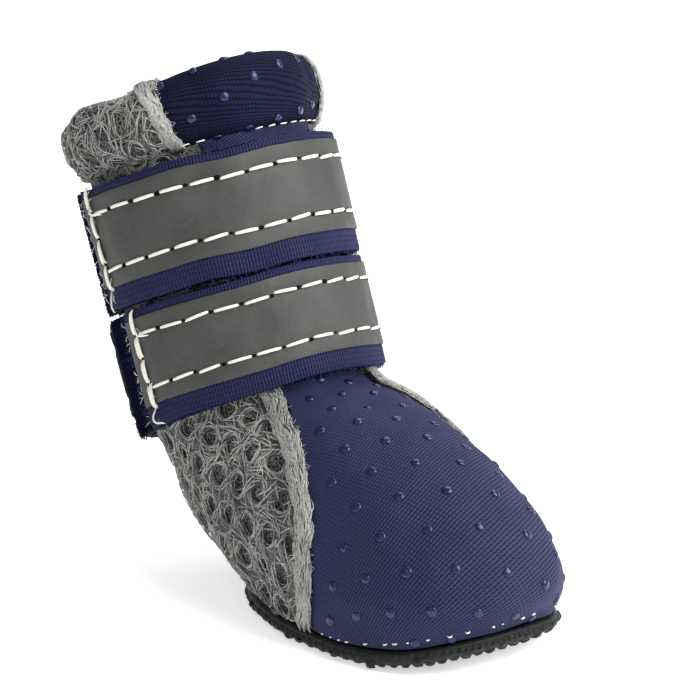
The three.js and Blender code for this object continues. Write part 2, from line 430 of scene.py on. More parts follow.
def many(model, name, frames):
    """One mesh of many copies of a modelled shape, with one copy for each 4 by 4 matrix in frames."""
    mesh = model.data
    shape = np.c_[positions(model), np.ones(len(mesh.vertices))]
    faces = [tuple(face.vertices) for face in mesh.polygons]
    frames = np.asarray(frames, dtype=float)
    places = np.einsum("nij,vj->nvi", frames, shape)[:, :, :3].reshape(-1, 3)
    count = len(shape)
    all_faces = [tuple(i + k * count for i in face) for k in range(len(frames)) for face in faces]
    piece = new_piece(name, places, all_faces)
    bpy.data.objects.remove(model)
    smooth(piece, 50)
    return piece


def turned(turn, size):
    """Sizes a shape, then turns it on its Z."""
    return Matrix.Rotation(turn, 4, "Z") @ Matrix.Diagonal((*size, 1))


def flat_frame(x, y, height=0.0, turn=0.0, size=(1, 1, 1)):
    return np.array(Matrix.Translation((x, y, height)) @ turned(turn, size))


def standing_frame(place, normal, turn=0.0, size=(1, 1, 1)):
    """Stands a shape on a surface, its Z along the normal."""
    lean = Vector(normal).to_track_quat("Z", "Y").to_matrix().to_4x4()
    return np.array(Matrix.Translation(Vector(place)) @ lean @ turned(turn, size))


def stitch_frame(place, up, normal, turn, size):
    """Lays a stitch on a surface, its length across the upward way."""
    side = up.cross(normal).normalized()
    way = Matrix((side, normal.cross(side), normal)).transposed().to_4x4()
    return np.array(Matrix.Translation(place) @ way @ turned(turn, size))


def tube_faces(start, rings, around):
    """The faces of a closed tube. Its corners are numbered from start, ring by ring."""
    faces = []
    for k in range(rings - 1):
        for j in range(around):
            a = start + k * around + j
            b = start + k * around + (j + 1) % around
            faces.append((a, b, b + around, a + around))
    faces.append(tuple(start + j for j in reversed(range(around))))
    faces.append(tuple(start + (rings - 1) * around + j for j in range(around)))
    return faces


def yarns(paths, name, radius, sides=3):
    """Thin round yarns along paths of points, as one mesh. Radius is one number, or one for each yarn."""
    places, faces = [], []
    radii = np.broadcast_to(radius, len(paths))
    turns = np.arange(sides) * 2 * math.pi / sides
    for path, thick in zip(paths, radii):
        path = np.asarray(path)
        start = len(places)
        ahead = np.gradient(path, axis=0)
        ahead /= np.linalg.norm(ahead, axis=1)[:, None] + 1e-12
        aside = np.cross(ahead, (0.13, 0.21, 0.97))
        aside /= np.linalg.norm(aside, axis=1)[:, None] + 1e-12
        above = np.cross(aside, ahead)
        for k in range(len(path)):
            end = 0.45 if k in (0, len(path) - 1) else 1.0
            for turn in turns:
                way = math.cos(turn) * aside[k] + math.sin(turn) * above[k]
                places.append(path[k] + thick * end * way)
        faces += tube_faces(start, len(path), sides)
    piece = new_piece(name, places, faces)
    face_outwards(piece)
    only(piece)
    bpy.ops.object.shade_smooth()
    return piece


# ---------------------------------------------------------------- straps, tapes and their stitches


def strip(name, start, end, low, high, thickness, base, across=8):
    """A flat strip of cloth lying at a height, with rounded edges and its own pattern map."""
    steps = max(8, int((end - start) / (0.8 * MM)))
    bpy.ops.mesh.primitive_grid_add(x_subdivisions=steps, y_subdivisions=across, size=1)
    piece = named(name)
    edit(piece)
    bpy.ops.transform.resize(value=(end - start, high - low, 1))
    bpy.ops.transform.translate(value=((start + end) / 2, (low + high) / 2, base))
    leave_edit()
    pattern_map(piece, positions(piece))
    finish_with(piece, "SOLIDIFY", thickness=thickness, offset=1)
    edge = math.radians(50)
    finish_with(piece, "BEVEL", width=thickness * 0.3, segments=2, limit_method="ANGLE", angle_limit=edge)
    return piece


def ripple(places, amount, length, seed):
    """Soft uneven waves, as a height for each place."""
    chance = random.Random(seed)
    total = np.zeros(len(places))
    for _ in range(5):
        along = chance.uniform(0.7, 1.6) / length
        across = chance.uniform(-0.5, 0.5) / length
        phase = chance.uniform(0, 6.28)
        total += np.sin(6.28 * (places[:, 0] * along + places[:, 1] * across) + phase)
    return amount * total / 3


def stitch_model():
    """One straight stitch, its ends diving into the cloth."""
    along = (0, math.pi / 2, 0)
    bpy.ops.mesh.primitive_cylinder_add(vertices=8, radius=THREAD_RADIUS, depth=STITCH_LONG, rotation=along)
    bpy.ops.object.transform_apply(rotation=True)
    piece = named("stitch")
    for cut in (-1.7, -0.9, 0, 0.9, 1.7):
        edit(piece)
        bpy.ops.mesh.bisect(plane_co=(cut * MM, 0, 0), plane_no=(1, 0, 0))
        leave_edit()
    places = positions(piece)
    t = np.abs(places[:, 0]) / (2.15 * MM)
    places[:, 1:] *= (1 - 0.35 * t**4)[:, None]
    places[:, 2] = places[:, 2] * 0.85 + (0.28 - 0.62 * t**6) * MM
    move_to(piece, places)
    return piece


# a small dark dome on the tape: painted shade standing in for a needle's hole
def hole_model():
    bpy.ops.mesh.primitive_uv_sphere_add(segments=8, ring_count=5, radius=0.5 * MM, scale=(1.2, 0.95, 0.45))
    bpy.ops.object.transform_apply(scale=True)
    return named("needle_hole")


def strap_marks(strap):
    """The two ends of a strap, and where each end is sewn down, as lengths round from the front."""
    start = math.radians(strap["start"]) * ROUND
    tip = math.radians(strap["tip"]) * ROUND
    return start, tip, start + 3.2 * MM, tip - 4.4 * MM


def webbing_and_tape(name, strap):
    seed = strap["seed"]
    start, tip, tack, _ = strap_marks(strap)
    band = strip(f"strap_{name}", start, tip, 0, STRAP_WIDTH, STRAP_THICK, STRAP_BASE, across=14)
    flat = positions(band)
    flat[:, 1] += ripple(flat * (1, 0, 1), 0.22 * MM, 21 * MM, seed)
    flat[:, 2] += ripple(flat, 0.10 * MM, 17 * MM, seed + 1)
    move_to(band, flat)

    inset = 0.5 * MM
    ends = (start + inset, tip - inset)
    tape = strip(f"tape_{name}", *ends, TAPE_LOW, TAPE_TOP, TAPE_THICK, TAPE_BASE, across=24)
    flat = positions(tape)
    flat[:, 2] += ripple(flat, 0.10 * MM, 17 * MM, seed + 1)
    for row in ROWS:
        sunk = np.exp(-(((flat[:, 1] - row) / (0.75 * MM)) ** 2))
        flat[:, 2] -= sunk * (0.14 + 0.08 * np.cos(6.283 * (flat[:, 0] - tack) / STITCH_PITCH)) * MM
    flat[:, 2] += ripple(flat * (1, 0.3, 1), 0.06 * MM, 7 * MM, seed + 5)
    flat[:, 1] += ripple(flat * (1, 0, 1), 0.18 * MM, 21 * MM, seed)
    move_to(tape, flat)
    return band, tape


def strap_stitches(name, strap, chance):
    """The thread through the grey tape: two long rows, a double row at each end, and dark domes of painted
    shade for the needle's holes.
    """
    _, _, tack, tip_tack = strap_marks(strap)
    stitches, holes = [], []
    for row in ROWS:
        x = tack + 2.6 * MM
        while x < tip_tack - 1.2 * MM:
            slant = math.radians(chance.uniform(-2.5, 5.5))
            height = 3.28 * MM
            y = row + chance.uniform(-0.12, 0.12) * MM
            y += float(ripple(np.array([[x, 0, 0]]), 0.18 * MM, 21 * MM, strap["seed"])[0])
            long = chance.uniform(0.94, 1.04)
            stitches.append(flat_frame(x, y, height, slant, (long, 1, 1)))
            wide = chance.uniform(0.45, 0.95)
            holes.append(flat_frame(x + STITCH_PITCH / 2, y, height - 0.02 * MM, 0, (wide, wide, wide)))
            x += STITCH_PITCH * chance.uniform(0.97, 1.03)
    for x in (tack, tip_tack):
        for y in np.arange(TAPE_LOW + 1.4 * MM, STRAP_WIDTH - 0.8 * MM, STITCH_LONG):
            for twin in (0, 1):
                shift = (-0.28 + 0.56 * twin + chance.uniform(-0.15, 0.15)) * MM
                turn = math.pi / 2 + math.radians(chance.uniform(-5, 5))
                height = (3.3 + 0.1 * twin) * MM
                stitches.append(flat_frame(x + shift, y + twin * 0.3 * MM, height, turn, (0.98, 1.15, 1.1)))
            if y + 2.8 * MM < STRAP_WIDTH:
                holes.append(flat_frame(x, y + 2.15 * MM, 3.3 * MM, math.pi / 2, (0.9, 1.1, 0.9)))
    rows = many(stitch_model(), f"stitches_{name}", stitches)
    holes = many(hole_model(), f"needle_holes_{name}", holes)
    return rows, holes


def frayed_edges(name, strap, chance):
    """Fine threads standing out of a strap's cut ends and its long edges."""
    start, tip, _, _ = strap_marks(strap)
    paths = []
    for edge, way in ((start, -1), (tip, 1)):
        for _ in range(150):
            y = chance.uniform(0, STRAP_WIDTH)
            z = chance.uniform(1.9, 3.0) * MM
            reach = chance.uniform(0.5, 2.2) * MM * way
            bend = chance.uniform(-0.9, 0.9) * MM
            rise = chance.uniform(-0.5, 0.7) * MM
            paths.append([
                (edge - 0.6 * MM * way, y, z),
                (edge + reach * 0.5, y + bend * 0.3, z + rise * 0.2),
                (edge + reach, y + bend, z + rise),
            ])
    for _ in range(260):
        x = chance.uniform(start, tip)
        upper = chance.random() < 0.5
        y = STRAP_WIDTH if upper else 0
        way = 1 if upper else -1
        out = chance.uniform(0.15, 0.6) * MM * way
        lean = chance.uniform(-0.8, 0.8) * MM
        z = chance.uniform(2.0, 2.9) * MM
        root = (x, y - 0.3 * MM * way, z)
        paths.append([root, (x + lean * 0.5, y + out * 0.6, z), (x + lean, y + out, z)])
    return yarns(paths, f"fray_{name}", 0.09 * MM)


def loose_fibres(name, strap, chance):
    """Fine fibres by the ends of the grey tape, and three cut thread ends."""
    start, tip, tack, tip_tack = strap_marks(strap)
    paths = []
    for edge, way in ((start + 0.6 * MM, -1), (tip - 0.6 * MM, 1), (tack, 1), (tip_tack, 1)):
        for _ in range(17):
            y = chance.uniform(0.5 * MM, STRAP_WIDTH)
            bend = chance.uniform(-1.4, 1.4) * MM
            reach = chance.uniform(-0.6, 1.5) * MM * way
            z = 3.25 * MM
            paths.append([
                (edge, y, z),
                (edge + reach * 0.5, y + bend * 0.4, z + 0.3 * MM),
                (edge + reach, y + bend, z + chance.uniform(0, 0.6) * MM),
            ])
    sizes = [0.055 * MM] * len(paths)
    for x in (tack, tack, tip_tack):
        y = chance.choice((2.2, 3.0, 17.5)) * MM
        curl = chance.uniform(-0.5, 0.5)
        path = []
        for k in range(8):
            path.append((x, y, (3.35 + 0.9 * math.sin(k * 0.45)) * MM))
            x += 0.55 * MM * math.sin(curl)
            y -= 0.6 * MM * math.cos(curl)
            curl += chance.uniform(-0.5, 0.6)
        paths.append(path)
        sizes.append(0.17 * MM)
    return yarns(paths, f"loose_fibres_{name}", sizes)


def strap_set(name, strap):
    """A hook strap, its grey tape, stitches, needle holes, frayed edges and loose fibres."""
    chance = random.Random(strap["seed"])
    made = (
        *webbing_and_tape(name, strap),
        *strap_stitches(name, strap, chance),
        frayed_edges(name, strap, chance),
        loose_fibres(name, strap, chance),
    )
    for piece in made:
        wind(piece, strap)
        smooth(piece, 50)
    return made


def velvet_band(name, strap):
    """The loop tape under a strap, all the way round, with its pile standing up where it shows."""
    chance = random.Random(strap["seed"] + 20)
    turn = 2 * math.pi * ROUND
    low = -VELVET_PEEK
    high = STRAP_WIDTH + VELVET_PEEK
    band = strip(f"velvet_{name}", -turn / 2, turn / 2, low, high, VELVET_THICK, VELVET_BASE, across=20)
    flat = positions(band)
    bare_from = math.radians(strap["tip"] - 360) * ROUND
    bare_to = math.radians(strap["start"]) * ROUND
    bare = (flat[:, 0] > bare_from) & (flat[:, 0] < bare_to) & (flat[:, 2] > 1 * MM)
    flat[:, 2] += bare * (1.0 * MM + ripple(flat, 0.12 * MM, 2.6 * MM, 4))
    move_to(band, flat)
    paths = []
    for _ in range(3400):
        x = chance.uniform(bare_from - 0.5 * MM, bare_to + 0.5 * MM)
        y = chance.uniform(low, high)
        lean = chance.gauss(0, 0.25) * MM
        drop = chance.gauss(-0.15, 0.25) * MM
        z = 2.1 * MM
        tall = chance.uniform(0.3, 0.75) * MM
        middle = (x + lean * 0.4, y + drop * 0.4, z + tall * 0.6)
        paths.append([(x, y, z), middle, (x + lean, y + drop, z + tall)])
    pile = yarns(paths, f"pile_{name}", 0.1 * MM)
    for piece in (band, pile):
        wind(piece, strap)
        smooth(piece, 50)
    return band, pile


# ---------------------------------------------------------------- the open mesh cloth


def cell_model(pitch):
    """One cell of the open mesh: a round hole with a rolled edge, in a square that meets its neighbours."""
    bpy.ops.mesh.primitive_circle_add(vertices=16, radius=1.0)
    cell = named("mesh_cell")
    edit(cell, "EDGE")
    for _ in range(4):
        bpy.ops.mesh.extrude_edges_move(TRANSFORM_OT_translate={"value": (0, 0, 1)})
    leave_edit()
    places = positions(cell)
    ring = np.rint(places[:, 2]).astype(int)
    way = places[:, :2]
    radius = np.array([1.8, 1.84, 2.08, 2.4, 0])[ring] * MM
    height = np.array([-1.1, -0.45, 0.0, -0.08, -0.3])[ring] * MM
    square = way / np.abs(way).max(axis=1)[:, None] * np.array(pitch) / 2
    round_part = way * radius[:, None]
    places[:, :2] = np.where((ring == 4)[:, None], square, round_part)
    places[:, 2] = height
    move_to(cell, places)
    return cell


def mesh_sheet(cloth, name, pitch, turn, lean, past_edge):
    """The pierced cloth itself, laid on a formed panel, and the middle of each of its cells."""
    c, s = math.cos(turn), math.sin(turn)
    low, high = cloth.flat.min(0), cloth.flat.max(0)
    middle = (low + high) / 2
    span = np.hypot(*(high - low)) / 2
    count = int(span / min(pitch)) + 2
    frames, centres = [], []
    for i in range(-count, count + 1):
        for j in range(-count, count + 1):
            along = i * pitch[0] + j * pitch[1] * lean
            x = along * c - j * s * pitch[1] + middle[0]
            y = along * s + j * c * pitch[1] + middle[1]
            if cloth.at(x, y, reach=past_edge) is None:
                continue
            slant = np.eye(4)
            slant[0, 1] = lean
            frames.append(flat_frame(x, y, 0, turn) @ slant)
            centres.append((x, y))
    sheet = many(cell_model(pitch), name, frames)
    edit(sheet)
    bpy.ops.mesh.remove_doubles(threshold=0.05 * MM)
    bpy.ops.mesh.normals_make_consistent(inside=False)
    leave_edit()
    flat = positions(sheet).copy()
    reach = 1.5 * MM
    inside = np.array([cloth.at(x, y, reach=reach) is not None for x, y, _ in flat])
    edit(sheet, "VERT")
    mesh = bmesh.from_edit_mesh(sheet.data)
    for vertex, kept in zip(mesh.verts, inside):
        vertex.select_set(not kept)
    bmesh.update_edit_mesh(sheet.data)
    bpy.ops.mesh.delete(type="VERT")
    leave_edit()
    pattern_map(sheet, positions(sheet))
    cloth.lay(sheet, reach)
    face_outwards(sheet)
    smooth(sheet, 70)
    return sheet, centres


def hole_yarns(cloth, seen, shrink, chance):
    """Rings of yarn round the holes: paths, and a radius for each."""
    paths, sizes = [], []
    for x, y in seen:
        for radius, height in ((1.84, -0.35), (1.95, 0.02), (2.12, 0.16), (2.38, 0.12)):
            radius *= chance.uniform(0.95, 1.06) * MM * shrink
            lobe = chance.uniform(0, 6.28)
            steps = 13
            turns = steps + 1 if height < 0.1 else chance.randrange(8, 15)
            aside = chance.gauss(0, 0.07) * MM
            ring = []
            for k in range(turns):
                a = lobe + k * 6.2832 / steps
                r = radius * (1 + 0.06 * math.sin(2 * a + lobe) + 0.04 * math.sin(5 * a + lobe))
                lift = height + 0.1 * math.sin(3 * a + lobe)
                u = x + aside + r * math.cos(a)
                v = y - aside + r * math.sin(a)
                spot = cloth.at(u, v, lift * MM, 0.2 * MM)
                if spot is not None:
                    ring.append(spot)
                    continue
                if len(ring) > 2:
                    paths.append(ring)
                    sizes.append(0.11 * MM)
                ring = []
            if len(ring) > 2:
                paths.append(ring)
                sizes.append(chance.uniform(0.09, 0.15) * MM)
    return paths, sizes


def yarns_between(cloth, seen, count, chance):
    """Short yarns that run between the holes: paths, and a radius for each."""
    paths, sizes = [], []
    for _ in range(count):
        x, y = chance.choice(seen)
        a = chance.uniform(0, 6.28)
        r = chance.uniform(2.2, 3.5) * MM
        heading = a + math.pi / 2 + chance.gauss(0, 0.55)
        curl = chance.uniform(-0.5, 0.2) / MM * 0.6
        x += r * math.cos(a)
        y += r * math.sin(a)
        height = chance.uniform(0.0, 0.35) * MM
        path = []
        for k in range(5):
            spot = cloth.at(x, y, height + math.sin(k * 0.8) * 0.12 * MM, 0.2 * MM)
            if spot is None:
                break
            path.append(spot)
            x += 0.75 * MM * math.cos(heading)
            y += 0.75 * MM * math.sin(heading)
            heading += curl * 0.75 * MM
        if len(path) > 2:
            paths.append(path)
            sizes.append(chance.uniform(0.07, 0.13) * MM)
    return paths, sizes


def mesh_cloth(cloth, name, pitch, turn, seed, holes_at=None, dense=1.0, shrink=1.0, lean=0.0, gap=None):
    """Open mesh laid on a formed panel: pierced cloth, rings of yarn round its holes, and yarns between."""
    chance = random.Random(seed)
    past_edge = 0.75 * max(pitch)
    sheet, centres = mesh_sheet(cloth, name, pitch, turn, lean, past_edge)
    seen = [spot for spot in centres if holes_at is None or holes_at(cloth.at(*spot, reach=past_edge))]
    paths, sizes = hole_yarns(cloth, seen, shrink, chance)
    more_paths, more_sizes = yarns_between(cloth, seen, int(len(seen) * 17 * dense), chance)
    paths += more_paths
    sizes += more_sizes
    if gap is not None:
        clear = [gap(np.array(path)).max() < -0.1 * MM for path in paths]
        sizes = [size for size, kept in zip(sizes, clear) if kept]
        paths = [path for path, kept in zip(paths, clear) if kept]
    return sheet, yarns(paths, f"{name}_yarn", sizes)


# ---------------------------------------------------------------- seams, dots and creases on the foot

# Soft folds in the cloth: from, to, half-width and depth, all in millimetres on the boot. Minus is a ridge.
FOLDS = [
    ((-20, -17, 26), (-8, -19, 8), 3.6, 0.8),
    ((-33, -14, 22), (-24, -17, 7), 3.0, 0.7),
    ((-12, -17, 27), (0, -19, 10), 2.6, -0.6),
    ((-20, 17, 26), (-9, 19, 9), 3.8, 0.8),
    ((-33, 14, 22), (-25, 16, 8), 3.0, 0.7),
    ((-12, 17, 27), (0, 19, 12), 2.6, -0.6),
    ((-52, 1.0, 27), (-38, 4.6, 6), 1.7, 1.7),
    ((-52, 7.5, 27), (-40, 9.5, 10), 2.6, -0.7),
    ((-50, -9, 25), (-40, -4, 8), 2.4, 0.7),
    ((-14, -10, 33), (-6, 0, 35), 2.6, 0.6),
    ((-14, 10, 33), (-6, 0, 35), 2.6, 0.5),
    ((14, -17, 8), (27, -8, 9), 4.0, 0.35),
    ((2, -20, 9), (9, -19, 18), 3.6, 0.35),
    ((2, 20, 9), (10, 19, 18), 3.6, 0.3),
]


def fold_depth(places):
    """How deep the folds press at each place, in metres."""
    total = np.zeros(len(places))
    for start, end, width, depth in FOLDS:
        a = np.array(start) * MM
        way = np.array(end) * MM - a
        along = np.clip((places - a) @ way / (way @ way), 0, 1)
        away = np.linalg.norm(places - a - along[:, None] * way, axis=1)
        total += depth * MM * np.exp(-((away / (width * MM)) ** 2))
    return total


def crease(piece):
    """Presses the folds into a formed panel, and adds a little unevenness, as sewn cloth has."""
    places = positions(piece)
    outward = normals(piece)
    x, y, z = places.T
    uneven = 0.18 * MM * np.sin(x * 410 + z * 260) * np.sin(y * 330 - z * 450)
    move_to(piece, places + outward * (uneven - fold_depth(places))[:, None])


def snap_to_seam(piece, gap):
    """Brings the cut edge of a panel onto its seam, along the cloth."""
    places = positions(piece)
    outward = normals(piece)
    off = gap(places)
    step = 0.05 * MM
    slope = np.stack([(gap(places + step * way) - off) / step for way in np.eye(3)], axis=1)
    slope -= outward * (slope * outward).sum(1)[:, None]
    length = (slope**2).sum(1) + 1e-3
    move = slope * (off / length)[:, None]
    near = (np.abs(off) < 0.6 * MM) & (np.linalg.norm(move, axis=1) < 0.9 * MM)
    places[near] -= move[near]
    move_to(piece, places)


def even_steps(line, step):
    """The same line with evenly spaced points, its corners softened."""
    for _ in range(6):
        line[1:-1] = (line[:-2] + 2 * line[1:-1] + line[2:]) / 4
    length = np.r_[0, np.cumsum(np.linalg.norm(np.diff(line[:, :3], axis=0), axis=1))]
    wanted = np.arange(0, length[-1], step)
    line = np.stack([np.interp(wanted, length, column) for column in line.T], axis=1)
    line[:, 3:] /= np.linalg.norm(line[:, 3:], axis=1)[:, None]
    return line[:, :3], line[:, 3:]


def seam_line(skin_tree, side):
    """The seam on one side of the boot, from the sole to under the straps, with its outward way."""
    found = []
    heights, edge = zip(*SEAM_FOOT)
    for height in np.arange(2.8, 31, 0.5):
        x = np.interp(height, heights, edge)
        start = Vector((x, side * 40, height)) * MM
        place, normal, _, _ = skin_tree.ray_cast(start, Vector((0, -side, 0)))
        if place is not None:
            found.append([*place, *normal])
    stations, degrees = zip(*SEAM_SHAFT)
    station = np.arange(38, 46, 0.6)
    angle = np.radians(np.interp(station, stations, degrees)) * side
    on_wall = on_shaft(angle, station * MM, 0)
    found.extend(np.c_[on_wall, (on_shaft(angle, station * MM, MM) - on_wall) / MM])
    line, _ = even_steps(np.array(found), 0.9 * MM)
    on_skin = [skin_tree.find_nearest(Vector(place))[:2] for place in line]
    line = np.array([[*place, *normal] for place, normal in on_skin])
    line[:, :3] -= line[:, 3:] * fold_depth(line[:, :3])[:, None]
    return even_steps(line, 0.9 * MM)


def heel_fold_line(skin_tree):
    """The edge of the pleat at the heel, where the right half of the mesh is folded over the left."""
    found = []
    for t in np.linspace(0, 1, 30):
        start = Vector((-80, 3.2 - 5.2 * t, 5.6 + 22 * t)) * MM
        place, normal, _, _ = skin_tree.ray_cast(start, Vector((1, 0, 0)))
        if place is not None:
            found.append([*place, *normal])
    return even_steps(np.array(found), 0.8 * MM)


def towards_mesh(line, outward, ahead, gap):
    """Across the seam, to the mesh's side of it."""
    across = np.cross(ahead, outward)
    more = gap(line + across * MM) - gap(line - across * MM)
    return np.where(more[:, None] > 0, -across, across)


def collar_seam_angle(station):
    """How far round from the front the collar's knit gives way to its mesh."""
    return np.radians(46 + 9 * (station - COLLAR_LOW) / (11 * MM))


def collar_seam_line(side):
    """The line of the seam over the collar, from its lower edge to the inside of the mouth."""
    up = np.linspace(0.0, 0.6, 40)
    rough = collar_places(np.full(40, COLLAR_SEAM * ROUND * side), up, 0)
    _, station, _ = shaft_coordinates(rough)
    x = collar_seam_angle(station) * ROUND * side
    line = collar_places(x, up, 0.1 * MM)
    outward = collar_places(x, up, 1.1 * MM) - line
    return even_steps(np.c_[line, outward / np.linalg.norm(outward, axis=1)[:, None]], 0.7 * MM)


def seam_edge(line, outward, gap, name, seed, half_wide=1.5 * MM, tall=0.75 * MM):
    """The folded edge of the mesh along its seam: a flat roll with long yarns and loose fibres on it."""
    chance = random.Random(seed)
    ahead = np.gradient(line, axis=0)
    ahead /= np.linalg.norm(ahead, axis=1)[:, None]
    back = towards_mesh(line, outward, ahead, gap)
    back_by = half_wide - 0.45 * MM
    steps = np.arange(len(line))
    waver = 0.16 * MM * np.sin(steps * 1.3) + 0.22 * MM * np.sin(steps * 0.45 + seed)

    def on_roll(k, turn, proud=1.0):
        middle = line[k] + back[k] * (back_by + waver[k])
        rise = math.sin(turn) * tall * proud + 0.25 * MM
        return middle + back[k] * math.cos(turn) * half_wide * proud + outward[k] * rise

    around = 10
    rings = [on_roll(k, j * 2 * math.pi / around) for k in range(len(line)) for j in range(around)]
    roll = new_piece(name, rings, tube_faces(0, len(line), around))
    face_outwards(roll)
    refine(roll, 1)
    smooth(roll, 60)

    paths, sizes = [], []
    for _ in range(9 * len(line)):
        k = chance.randrange(0, len(line) - 7)
        a = chance.uniform(0.1, 2.9)
        drift = chance.uniform(-0.16, 0.16)
        path = []
        for m in range(chance.randrange(4, 8)):
            proud = 1.08 + 0.12 * math.sin(m * 2 + a * 5)
            path.append(on_roll(k + m, a + drift * m, proud))
        paths.append(path)
        sizes.append(chance.uniform(0.09, 0.16) * MM)
    for _ in range(len(line)):
        k = chance.randrange(2, len(line) - 4)
        root = line[k] + outward[k] * 0.3 * MM + back[k] * 0.1 * MM
        reach = chance.uniform(0.5, 1.7) * MM
        rise = chance.uniform(0.1, 0.9)
        slip = chance.uniform(-0.9, 0.9)
        way = -back[k] * reach + outward[k] * rise * MM + ahead[k] * slip * MM
        bend = ahead[k] * chance.uniform(-0.5, 0.5) * MM
        paths.append([root, root + way * 0.5 + bend, root + way])
        sizes.append(0.06 * MM)
    return roll, yarns(paths, f"{name}_yarn", sizes)


def dot_model():
    """A raised glossy dot with a soft foot."""
    bpy.ops.mesh.primitive_uv_sphere_add(segments=12, ring_count=8, radius=0.84 * MM, scale=(1, 1, 0.42))
    bpy.ops.object.transform_apply(scale=True)
    dot = named("dot")
    edit(dot)
    bpy.ops.mesh.bisect(plane_co=(0, 0, -0.12 * MM), plane_no=(0, 0, 1), clear_inner=True, use_fill=True)
    leave_edit()
    return dot


def dots_on(cloth, name, keep, pitch=DOT_PITCH, turn=0.16, seed=2):
    """Raised dots in rows over a knit panel, wherever the keep test allows one."""
    chance = random.Random(seed)
    c, s = math.cos(turn), math.sin(turn)
    low, high = cloth.flat.min(0), cloth.flat.max(0)
    middle = (low + high) / 2
    frames = []
    for i in range(-14, 15):
        for j in range(-14, 15):
            half = 0.5 * pitch if j % 2 else 0
            u = middle[0] + (i * pitch + half) * c - j * pitch * 0.86 * s
            v = middle[1] + (i * pitch + half) * s + j * pitch * 0.86 * c
            place = cloth.at(u, v, 0.02 * MM, 0.05 * MM)
            if place is None or not keep(place):
                continue
            ahead = cloth.at(u, v, 1.0 * MM, 0.05 * MM)
            size = chance.uniform(0.86, 1.1)
            frames.append(standing_frame(place, ahead - place, chance.uniform(0, 6), (size, size, size)))
    return many(dot_model(), name, frames)


# ---------------------------------------------------------------- the collar

COLLAR_LOW = 75.9 * MM
COLLAR_FRONT = 87.3 * MM
COLLAR_BACK = 84.9 * MM
COLLAR_SECTION = 27  # once round the section of the roll, in millimetres
COLLAR_SEAM = math.radians(50)  # about how far round from the front the knit goes


def collar_places(x, y, height):
    """Where the collar's cloth lies. X is the length round it from the front, and Y runs from 0 to 1 up the
    outside, over the top, and down the inside. Height is the distance off the cloth."""
    angle = x / ROUND
    front = (1 + np.cos(angle)) / 2
    knit_part = np.clip((COLLAR_SEAM + 0.1 - np.abs(angle)) / 0.2, 0, 1)
    top = COLLAR_BACK + (COLLAR_FRONT - COLLAR_BACK) * front
    top = top + knit_part * 1.1 * MM * np.cos(np.clip(angle / COLLAR_SEAM, -1, 1) * math.pi / 2) ** 0.7
    pinch = np.exp(-(((np.abs(angle) - math.pi) / 0.2) ** 2))
    top = top - pinch * 2.2 * MM
    bunch = (1 - knit_part) * (
        0.55 * np.sin(angle * 9 + 0.7) * np.sin(y * 9 + angle * 3)
        + 0.38 * np.sin(angle * 17 - y * 7 + 1.9)
        + 0.28 * np.sin(angle * 5 + y * 14)
    ) * MM
    top = top + (1 - knit_part) * 0.45 * MM * np.sin(angle * 7 + 1)
    ruck = 0.35 * MM * np.exp(-(((np.abs(angle) - COLLAR_SEAM + 0.28) / 0.10) ** 2))
    roll = 2 * math.pi * (y - 0.25)
    half_thick = 3.05 * MM
    half_tall = (top - COLLAR_LOW) / 2
    power = 0.72
    across = np.sign(np.cos(roll)) * np.abs(np.cos(roll)) ** power
    up = np.sign(np.sin(roll)) * np.abs(np.sin(roll)) ** power
    off = -0.85 * MM + across * (half_thick + bunch - ruck - pinch * 0.9 * MM + height)
    off = off - 0.5 * MM * (up < -0.4) * (across > 0)
    station = (top + COLLAR_LOW) / 2 + up * (half_tall + height)
    return on_shaft(angle, station, off)


def collar_seam(places):
    """How far in front of the collar's seams each place is."""
    angle, station, _ = shaft_coordinates(places)
    return (collar_seam_angle(station) - np.abs(angle)) * ROUND


def make_collar():
    """The padded collar: a knit roll in front and a gathered mesh roll behind, and their flat patterns."""
    turn = 2 * math.pi * ROUND
    bpy.ops.mesh.primitive_grid_add(x_subdivisions=216, y_subdivisions=48, size=1)
    roll = named("collar_roll")
    flat = positions(roll)
    flat[:, 0] *= turn
    flat[:, 1] += 0.5
    move_to(roll, flat)
    pattern_map(roll, np.stack([flat[:, 0], (flat[:, 1] - 0.25) * COLLAR_SECTION * MM], axis=1))
    move_to(roll, collar_places(flat[:, 0], flat[:, 1], 0))
    edit(roll)
    bpy.ops.mesh.remove_doubles(threshold=0.01 * MM)
    bpy.ops.mesh.normals_make_consistent(inside=False)
    leave_edit()
    front = copy_of(roll, "collar_knit")
    trim(front, lambda places: collar_seam(places) > -0.5 * MM)
    back = copy_of(roll, "collar_pad")
    trim(back, lambda places: collar_seam(places) < 0.2 * MM)
    bpy.data.objects.remove(roll)
    return front, back


def collar_mesh_panel(seed=31):
    """The gathered open mesh over the back of the collar."""
    turn = math.pi * ROUND
    side = math.radians(49) * ROUND
    bpy.ops.mesh.primitive_grid_add(x_subdivisions=120, y_subdivisions=30, size=1)
    sheet = named("collar_mesh_pattern")
    flat = positions(sheet)
    x = side + (flat[:, 0] + 0.5) * 2 * (turn - side)
    y = -0.06 + (flat[:, 1] + 0.5) * 0.8
    pattern_map(sheet, np.stack([x, y * COLLAR_SECTION * MM], axis=1))
    move_to(sheet, collar_places(x, y, 0.12 * MM))
    face_outwards(sheet)
    cloth = Cloth(sheet)
    centre = np.array(on_shaft(np.array([math.pi]), np.array([80 * MM]), np.array([-0.85 * MM]))[0])
    nearest = np.argmin(np.linalg.norm(cloth.places - centre, axis=1))
    if (cloth.places[nearest] - centre) @ cloth.normals[nearest] < 0:
        cloth.normals *= -1
    made = mesh_cloth(cloth, "collar_mesh", (4.9 * MM, 4.5 * MM), 0.3, seed, dense=1.3, shrink=0.84)
    bpy.data.objects.remove(sheet)
    return made


# ---------------------------------------------------------------- the sole and the insole


